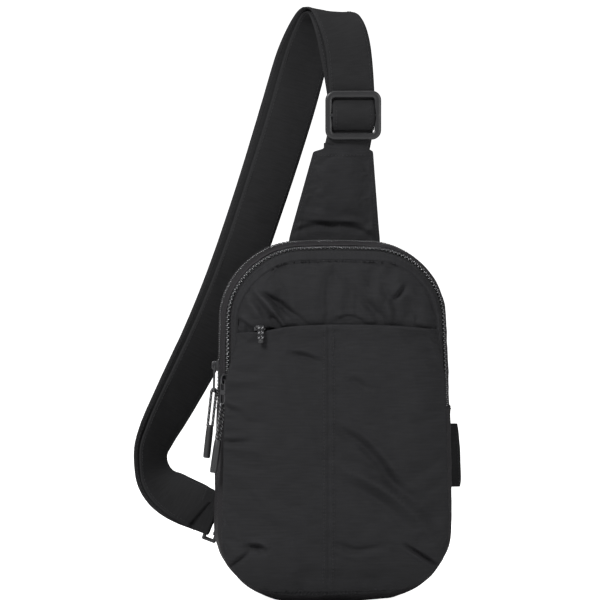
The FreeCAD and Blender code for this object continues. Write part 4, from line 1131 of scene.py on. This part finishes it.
def build_strap():
    """Load layer, return layer, the turn over the adjuster's bar and the fold round the lower ring."""
    width, thickness = STRAP_WIDTH, STRAP_THICKNESS
    load = strap_path("strap_load", (14.6, 0, span("yoke_front")[1][2] - 6), (0.15, 0, 1))
    outer = webbing("strap_outer_layer", load, width, thickness, WEBBING, seed=101)
    on_body(outer, "strap", "webbing", "strap_load")
    threads = Bundle()
    sew_strap(threads, load, width, thickness)
    on_body(threads.piece("strap_outer_stitches", THREAD), "strap", "webbing")
    bar = (span("adjuster")[0] + span("adjuster")[1]) / 2
    back = strap_path("strap_return", (bar[0] - 1, 3, bar[2] + 9), (0, 0, 1))
    top = int(np.argmax(back[0][:, 2]))
    front_part = tuple(values[:top + 1] for values in back)
    rear_part = tuple(values[top:] for values in back)
    rear = webbing("strap_return_rear", rear_part, width, thickness, WEBBING, seed=111)
    on_body(rear, "strap", "webbing", "strap_return")
    front = webbing("strap_return_front", front_part, width, thickness, WEBBING, seed=111)
    threads, front_threads = Bundle(), Bundle()
    sew_strap(threads, rear_part, width, thickness)
    sew_strap(front_threads, front_part, width, thickness)
    on_body(threads.piece("strap_return_stitches", THREAD), "strap", "webbing")
    sewn = front_threads.piece("strap_return_front_stitches", THREAD)
    for piece in (front, sewn):
        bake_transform(piece)
    build_adjuster()
    build_wrap(width - 3)
    build_fold(width)


def build_adjuster():
    """Slide buckle: a rounded frame of oval section, and the middle bar under the webbing."""
    low, high = span("adjuster")
    middle, half = (low + high) / 2, (high - low) / 2
    bar, corner = 5.6, 5.0
    reach = half[[0, 2]] - bar / 2
    # Middle line of the frame, with quarter turns at its corners.
    path = []
    for turn, (sx, sz) in enumerate(((1, 1), (-1, 1), (-1, -1), (1, -1))):
        for angle in np.linspace(0, math.pi / 2, 9) + turn * math.pi / 2:
            path.append((middle[0] + sx * (reach[0] - corner) + corner * math.cos(angle),
                         middle[1], middle[2] + sz * (reach[1] - corner) + corner * math.sin(angle)))
    path = np.array(path)
    along = unit(np.roll(path, -1, axis=0) - np.roll(path, 1, axis=0))
    out = np.cross(along, (0, 1, 0))
    # Section of the frame's bars: between an oval and a rounded rectangle.
    turn = np.arange(20) * 2 * math.pi / 20
    wide = np.sign(np.cos(turn)) * np.abs(np.cos(turn)) ** 0.75 * bar / 2
    deep = np.sign(np.sin(turn)) * np.abs(np.sin(turn)) ** 0.75 * half[1]
    grid = path[:, None] + out[:, None] * wide[:, None] + np.array([0, 1, 0]) * deep[:, None]
    frame_piece = skin("adjuster_frame", grid, PLASTIC, wrap_rows=True, wrap_columns=True)
    on_body(frame_piece, "adjuster", "hardware", "adjuster")
    ends = [(middle[0] - reach[0], middle[1], middle[2]), (middle[0] + reach[0], middle[1], middle[2])]
    on_body(make("adjuster_bar", *tube(ends, 1.5, 16), PLASTIC), "adjuster", "hardware")


def build_wrap(width):
    """Webbing that humps forward over the adjuster's middle bar."""
    low, high = span("adjuster_wrap")
    x, z, reach = (low[0] + high[0]) / 2, (low[2] + high[2]) / 2, (high[2] - low[2]) / 2
    turn = np.linspace(-1, 1, 41)
    rise = -low[1] - 2.4
    y = -2.4 - rise * np.cos(turn * math.pi / 2) ** 0.8 + 0.75
    middles = np.stack([np.full(41, x), y, z + turn * (reach - 0.6)], axis=1)
    along = unit(np.gradient(middles, axis=0))
    widths = np.tile([1.0, 0, 0], (41, 1))
    path = (middles, widths, np.cross(along, widths))
    piece = webbing("adjuster_webbing", path, width + 0.7, 1.5, WEBBING, 121, crown=0.1, wrinkle=0.12)
    on_body(piece, "adjuster", "webbing", "adjuster_wrap")
    threads = Bundle()
    for side in (-1, 1):
        row = middles + widths * side * (width / 2 - 2.9) - path[2] * 0.72
        stitch(threads, row[4:-4], -path[2][4:-4], pitch=3.2, length=2.3)
    on_body(threads.piece("adjuster_stitches", THREAD), "adjuster", "webbing")


def ring_frame():
    """Middle of the ring's inner bar, the direction of its bars, and across it away from the bag's middle."""
    swing = JOINTS["strap_swing"]
    along = -unit(np.array(swing["axis"], float))
    across = np.array([1.0, 0, 0])
    across = unit(across - along * (across @ along))
    return np.array(swing["pos_m"]) / MM, along, -across


def loop_round(at, across, front, tail, spread, radius):
    """U-shaped path round a bar: in along one tail, round the bar and back along the other."""
    bend = [at + (front * math.cos(t) - across * math.sin(t)) * radius for t in np.linspace(0, math.pi, 13)]
    return np.array([at + across * tail + front * spread] + bend + [at + across * tail - front * spread])


def build_fold(width):
    """Fold of the strap round the ring's outer bar, and the tab that holds the inner bar to the bag."""
    at, along, away = ring_frame()
    front = np.cross(along, away)
    outer = at + away * 9
    fold = loop_round(outer, away, front, tail=13, spread=1.6, radius=2.6)
    tab = loop_round(at, -away, front, tail=12, spread=1.0, radius=2.6)
    for name, line, wide, body, node, seed in (
            ("strap_lower_fold", fold, width - 1, "strap", "strap_fold", 131),
            ("lower_ring_tab", tab, 33, "bag", "lower_tab", 141)):
        middles = resample(curve(line, 60), 0.8)[0]
        heading = unit(np.gradient(middles, axis=0))
        widths = np.tile(along, (len(middles), 1))
        path = (middles, widths, np.cross(heading, widths))
        on_body(webbing(name, path, wide, 1.2, WEBBING, seed, crown=0.05, wrinkle=0.1), body, "webbing", node)


def build_side_tab(threads):
    """Folded web tab in the right seam, with a bowed outer edge and stitching round it."""
    low, high = span("side_tab")
    y, reach = (low[1] + high[1]) / 2, high[0] - low[0]
    heights = np.linspace(low[2], high[2], 45)
    share = (heights - (low[2] + high[2]) / 2) / ((high[2] - low[2]) / 2)
    bow = reach - 1.3 * np.abs(share) ** 5 - 2.4 * smooth(0.5 + 0.5 * share)
    turn = np.linspace(0, math.pi, 9)
    radius = 2.1
    rows = []
    for height, far in zip(heights, bow):
        outer = [(0, -1.5), (far * 0.5, -1.9)] + [
            (far - radius + radius * math.sin(t), -radius * math.cos(t)) for t in turn] + [
            (far * 0.5, 1.9), (0, 1.5)]
        inner = [(a * 0.93 - 0.2 if a > 1 else a, b * 0.35) for a, b in reversed(outer)]
        rows.append([(low[0] + a, y + b, height) for a, b in outer + inner])
    grid = np.array(rows)
    grid[..., 1] += 0.3 * waves(grid, 22, 151)
    grid[..., 0] += 0.25 * waves(grid, 18, 152) * smooth((grid[..., 0] - low[0]) / 6)
    piece = skin("side_tab_web", grid, WEBBING, wrap_columns=True)
    on_body(piece, "bag", "webbing", "side_tab")
    tree = surface_of(piece)
    edge = np.stack([low[0] + bow - 2.6, heights], axis=1)[3:-3]
    low_edge = [(x, low[2] + 2.4) for x in np.linspace(low[0] + 4, edge[0, 0], 8)]
    high_edge = [(x, high[2] - 2.4) for x in np.linspace(edge[-1, 0], low[0] + 4, 8)]
    places, lifts = on_surface(tree, [*low_edge, *edge, *high_edge])
    stitch(threads, places, lifts, pitch=2.8, length=2.0)


# ---------------------------------------------------------------- yoke

# Points across one face of the yoke, and the row of points where it narrows to its neck.
YOKE_COLUMNS, SHOULDER_ROW = 37, 45


def yoke_outline(low, high):
    """Heights up the yoke, its left and right edge there, and how far each height is into the neck."""
    base, shoulder, neck = low[2] - 5.5, high[2] - 9, high[2] - 1
    heights = np.append(np.linspace(base, shoulder, SHOULDER_ROW + 1), np.linspace(shoulder + 0.8, neck, 9))
    rise = np.clip((heights - low[2]) / (shoulder - low[2]), 0, 1)
    into_neck = smooth((heights - shoulder) / 3.2)
    left = (low[0] + 20 * rise) * (1 - into_neck) - 4.2 * into_neck
    right = (high[0] - 5.5 * rise) * (1 - into_neck) + 32.2 * into_neck
    return heights, left, right, into_neck


def yoke_shell(foot, heights, left, right, into_neck):
    """Closed grid of the yoke: a padded front and back that thin out at the edges, the neck and the foot."""
    across = np.linspace(-1, 1, YOKE_COLUMNS)
    x = left[:, None] * (1 - across) / 2 + right[:, None] * (1 + across) / 2
    z = np.broadcast_to(heights[:, None], x.shape)
    off = (1 - np.abs(across)) * (right - left)[:, None] / 2
    plump = 0.55 + 2.3 * (1 - np.exp(-off / 7.0)) - 0.5 * np.exp(-((off - 3.0) / 1.1) ** 2)
    plump = plump * (1 - 0.45 * into_neck[:, None])
    plump = plump * (0.45 + 0.55 * smooth((heights - heights[0]) / 14))[:, None]
    lean = -1.4 * smooth((foot + 12 - heights) / 16)[:, None]
    front = np.stack([x, lean - plump, z], axis=-1)
    rear = np.stack([x, lean + plump * 0.8, z], axis=-1)
    return np.concatenate([front, rear[:, ::-1]], axis=1)


def yoke_folds(left, right, foot):
    """Folds across the yoke's foot and below its neck, given like the folds of the front."""
    return (
        ([(left + 2, foot + 14), (left + 22, foot + 13), (left + 38, foot + 8)], 2.2, -1.5, 0.5),
        ([(left + 2, foot + 5), (left + 20, foot + 10), (right - 24, foot + 9), (right - 6, foot + 1)],
         2.6, -2.2, 0.6),
        ([(left + 6, foot + 23), (left + 26, foot + 20), (left + 36, foot + 15)], 3.2, 1.0, 0.5),
        ([(right - 34, foot + 16), (right - 22, foot + 15), (right - 8, foot + 9)], 2.6, 0.9, 0.5),
        ([(right - 14, foot + 60), (right - 10, foot + 54), (right - 7, foot + 51)], 2.0, -0.9, 0.4),
        ([(left + 20, foot + 61), (left + 30, foot + 59)], 2.4, -0.7, 0.4),
    )


def sew_yoke(piece, heights, left, right):
    """Stitching beside the yoke's edges and across its shoulder."""
    tree = surface_of(piece)
    threads = Bundle()
    rows = [np.stack([edge + inwards, heights], axis=1)[6:SHOULDER_ROW + 1]
            for edge, inwards in ((left, 3.0), (right, -3.0))]
    ends = left[SHOULDER_ROW] + 5, right[SHOULDER_ROW] - 5
    rows.append([(x, heights[SHOULDER_ROW] - 2.5) for x in np.linspace(*ends, 14)])
    for row in rows:
        stitch(threads, *on_surface(tree, row))
    return threads.piece("yoke_stitches", THREAD)


def build_yoke():
    """Padded yoke from the top seam of the bag to the neck of the strap."""
    low, high = span("yoke_front")
    heights, left, right, into_neck = yoke_outline(low, high)
    grid = yoke_shell(low[2], heights, left, right, into_neck)
    piece = skin("padded_yoke", grid, NYLON, wrap_columns=True)
    sewn = np.zeros(grid.shape[:2], bool)
    sewn[:2] = sewn[-10:] = True
    sewn[:, :3] = sewn[:, -3:] = sewn[:, YOKE_COLUMNS - 3:YOKE_COLUMNS + 3] = True
    inflate(piece, sewn.ravel(), pressure=2.0, growth=0.03, cap=1.3)
    subdivided(piece)
    places = coordinates(piece)
    flat = places * [1, 0, 1]
    push = sum(crease(places[:, 0], places[:, 2], *fold) for fold in yoke_folds(low[0], high[0], low[2]))
    push = push + 0.3 * waves(flat, 24, 161) + 0.12 * waves(flat, 9, 162)
    facing = np.where(places[:, 1] < -0.2, 1.0, 0.0)
    places[:, 1] -= push * facing * np.clip(-places[:, 1] / 2.0, 0, 1)
    places[:, 1] += 0.5 * push * (1 - facing) * np.clip(places[:, 1] / 2.0, 0, 1)
    move_to(piece, places)
    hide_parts("yoke_front", "yoke_back", "yoke_foam")
    stitches = sew_yoke(piece, heights, left, right)
    for part in (piece, stitches):
        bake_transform(part)


# ---------------------------------------------------------------- stage

def area_light(name, place, target, size, power):
    """Soft square light that looks at a point."""
    light = bpy.data.lights.new(name, "AREA")
    light.shape = "SQUARE"
    light.size, light.energy = size, power
    lamp = bpy.data.objects.new(name, light)
    lamp.location = place
    lamp.rotation_euler = (Vector(target) - Vector(place)).to_track_quat("-Z", "Y").to_euler()
    bpy.context.scene.collection.objects.link(lamp)


def build_floor(centre, ground):
    """Wide pale floor that looks evenly white to the camera."""
    made = Shader("pale_floor")
    cloudy = made.noise(made.add("TexCoord").outputs["Object"], 3.0, 2.0)
    seen = made.add("LightPath").outputs["Is Camera Ray"]
    tone = made.maths("ADD", 0.99, made.maths("MULTIPLY", cloudy, 0.02))
    material = made.finish((0.93, 0.93, 0.93), tone, {
        "Roughness": 0.9, "Emission Color": (1, 1, 1, 1),
        "Emission Strength": made.maths("MULTIPLY", seen, 0.95)})
    bpy.ops.mesh.primitive_plane_add(size=400, location=(centre[0], centre[1], ground - 2 * MM))
    floor = bpy.context.active_object
    floor.name = "studio_floor"
    floor.data.materials.append(material)


def build_surroundings(light=0.22, looks=1.0):
    """White surroundings, brighter to the camera than the light they give."""
    world = bpy.data.worlds.new("studio")
    bpy.context.scene.world = world
    world.use_nodes = True
    nodes, links = world.node_tree.nodes, world.node_tree.links
    seen = nodes.new("ShaderNodeLightPath")
    strength = nodes.new("ShaderNodeMapRange")
    strength.inputs["To Min"].default_value = light
    strength.inputs["To Max"].default_value = looks
    links.new(seen.outputs["Is Camera Ray"], strength.inputs["Value"])
    links.new(strength.outputs["Result"], nodes["Background"].inputs["Strength"])
    nodes["Background"].inputs["Color"].default_value = (1, 1, 1, 1)


def build_camera(centre, size):
    """Far camera with a long lens, a little to the left of the front and a little above it."""
    azimuth, elevation, distance = math.radians(-7), math.radians(4), size * 8
    back = np.array([math.sin(azimuth) * math.cos(elevation), -math.cos(azimuth) * math.cos(elevation),
                     math.sin(elevation)])
    camera = bpy.data.objects.new("camera", bpy.data.cameras.new("camera"))
    camera.location = centre + back * distance
    camera.rotation_euler = Vector(-back).to_track_quat("-Z", "Y").to_euler()
    camera.data.lens = camera.data.sensor_width * distance / (size * 1.012)
    bpy.context.scene.collection.objects.link(camera)
    bpy.context.scene.camera = camera


def build_stage():
    """Pale floor, white surroundings, soft lights from the front and above, and the camera."""
    low, high = (np.array(corner) for corner in CAD_BOX)
    centre = np.array([(low[0] + high[0]) / 2 - 0.0018, -0.03, (low[2] + high[2]) / 2 + 0.002])
    build_floor(centre, low[2])
    build_surroundings()
    area_light("key_light", centre + [-1.0, -1.05, 1.25], centre, size=0.45, power=44)
    area_light("fill_light", centre + [1.1, -1.2, 0.3], centre, size=0.8, power=10)
    area_light("top_light", centre + [0.1, 0.1, 1.5], centre, size=0.8, power=8)
    build_camera(centre, high[2] - low[2])
    bpy.context.scene.view_settings.view_transform = "Standard"


# ---------------------------------------------------------------- the whole bag

def build_bag():
    """Every piece, with the sewing of the bag's body gathered in one mesh."""
    threads = Bundle()
    build_upper_bands(threads)
    build_lower_band(threads)
    build_border()
    build_upper_panel()
    pocket = build_pocket()
    sew_front(pocket, threads)
    build_back(threads)
    build_linings()
    build_zip("main_zip", MAIN_ZIP, threads)
    build_zip("front_zip", FRONT_ZIP, threads)
    build_pocket_zip()
    build_cords()
    build_pocket_pull()
    finish_hardware()
    build_side_tab(threads)
    on_body(threads.piece("bag_stitches", THREAD), "bag", "nylon")
    build_strap()
    build_yoke()


build_bag()
build_stage()
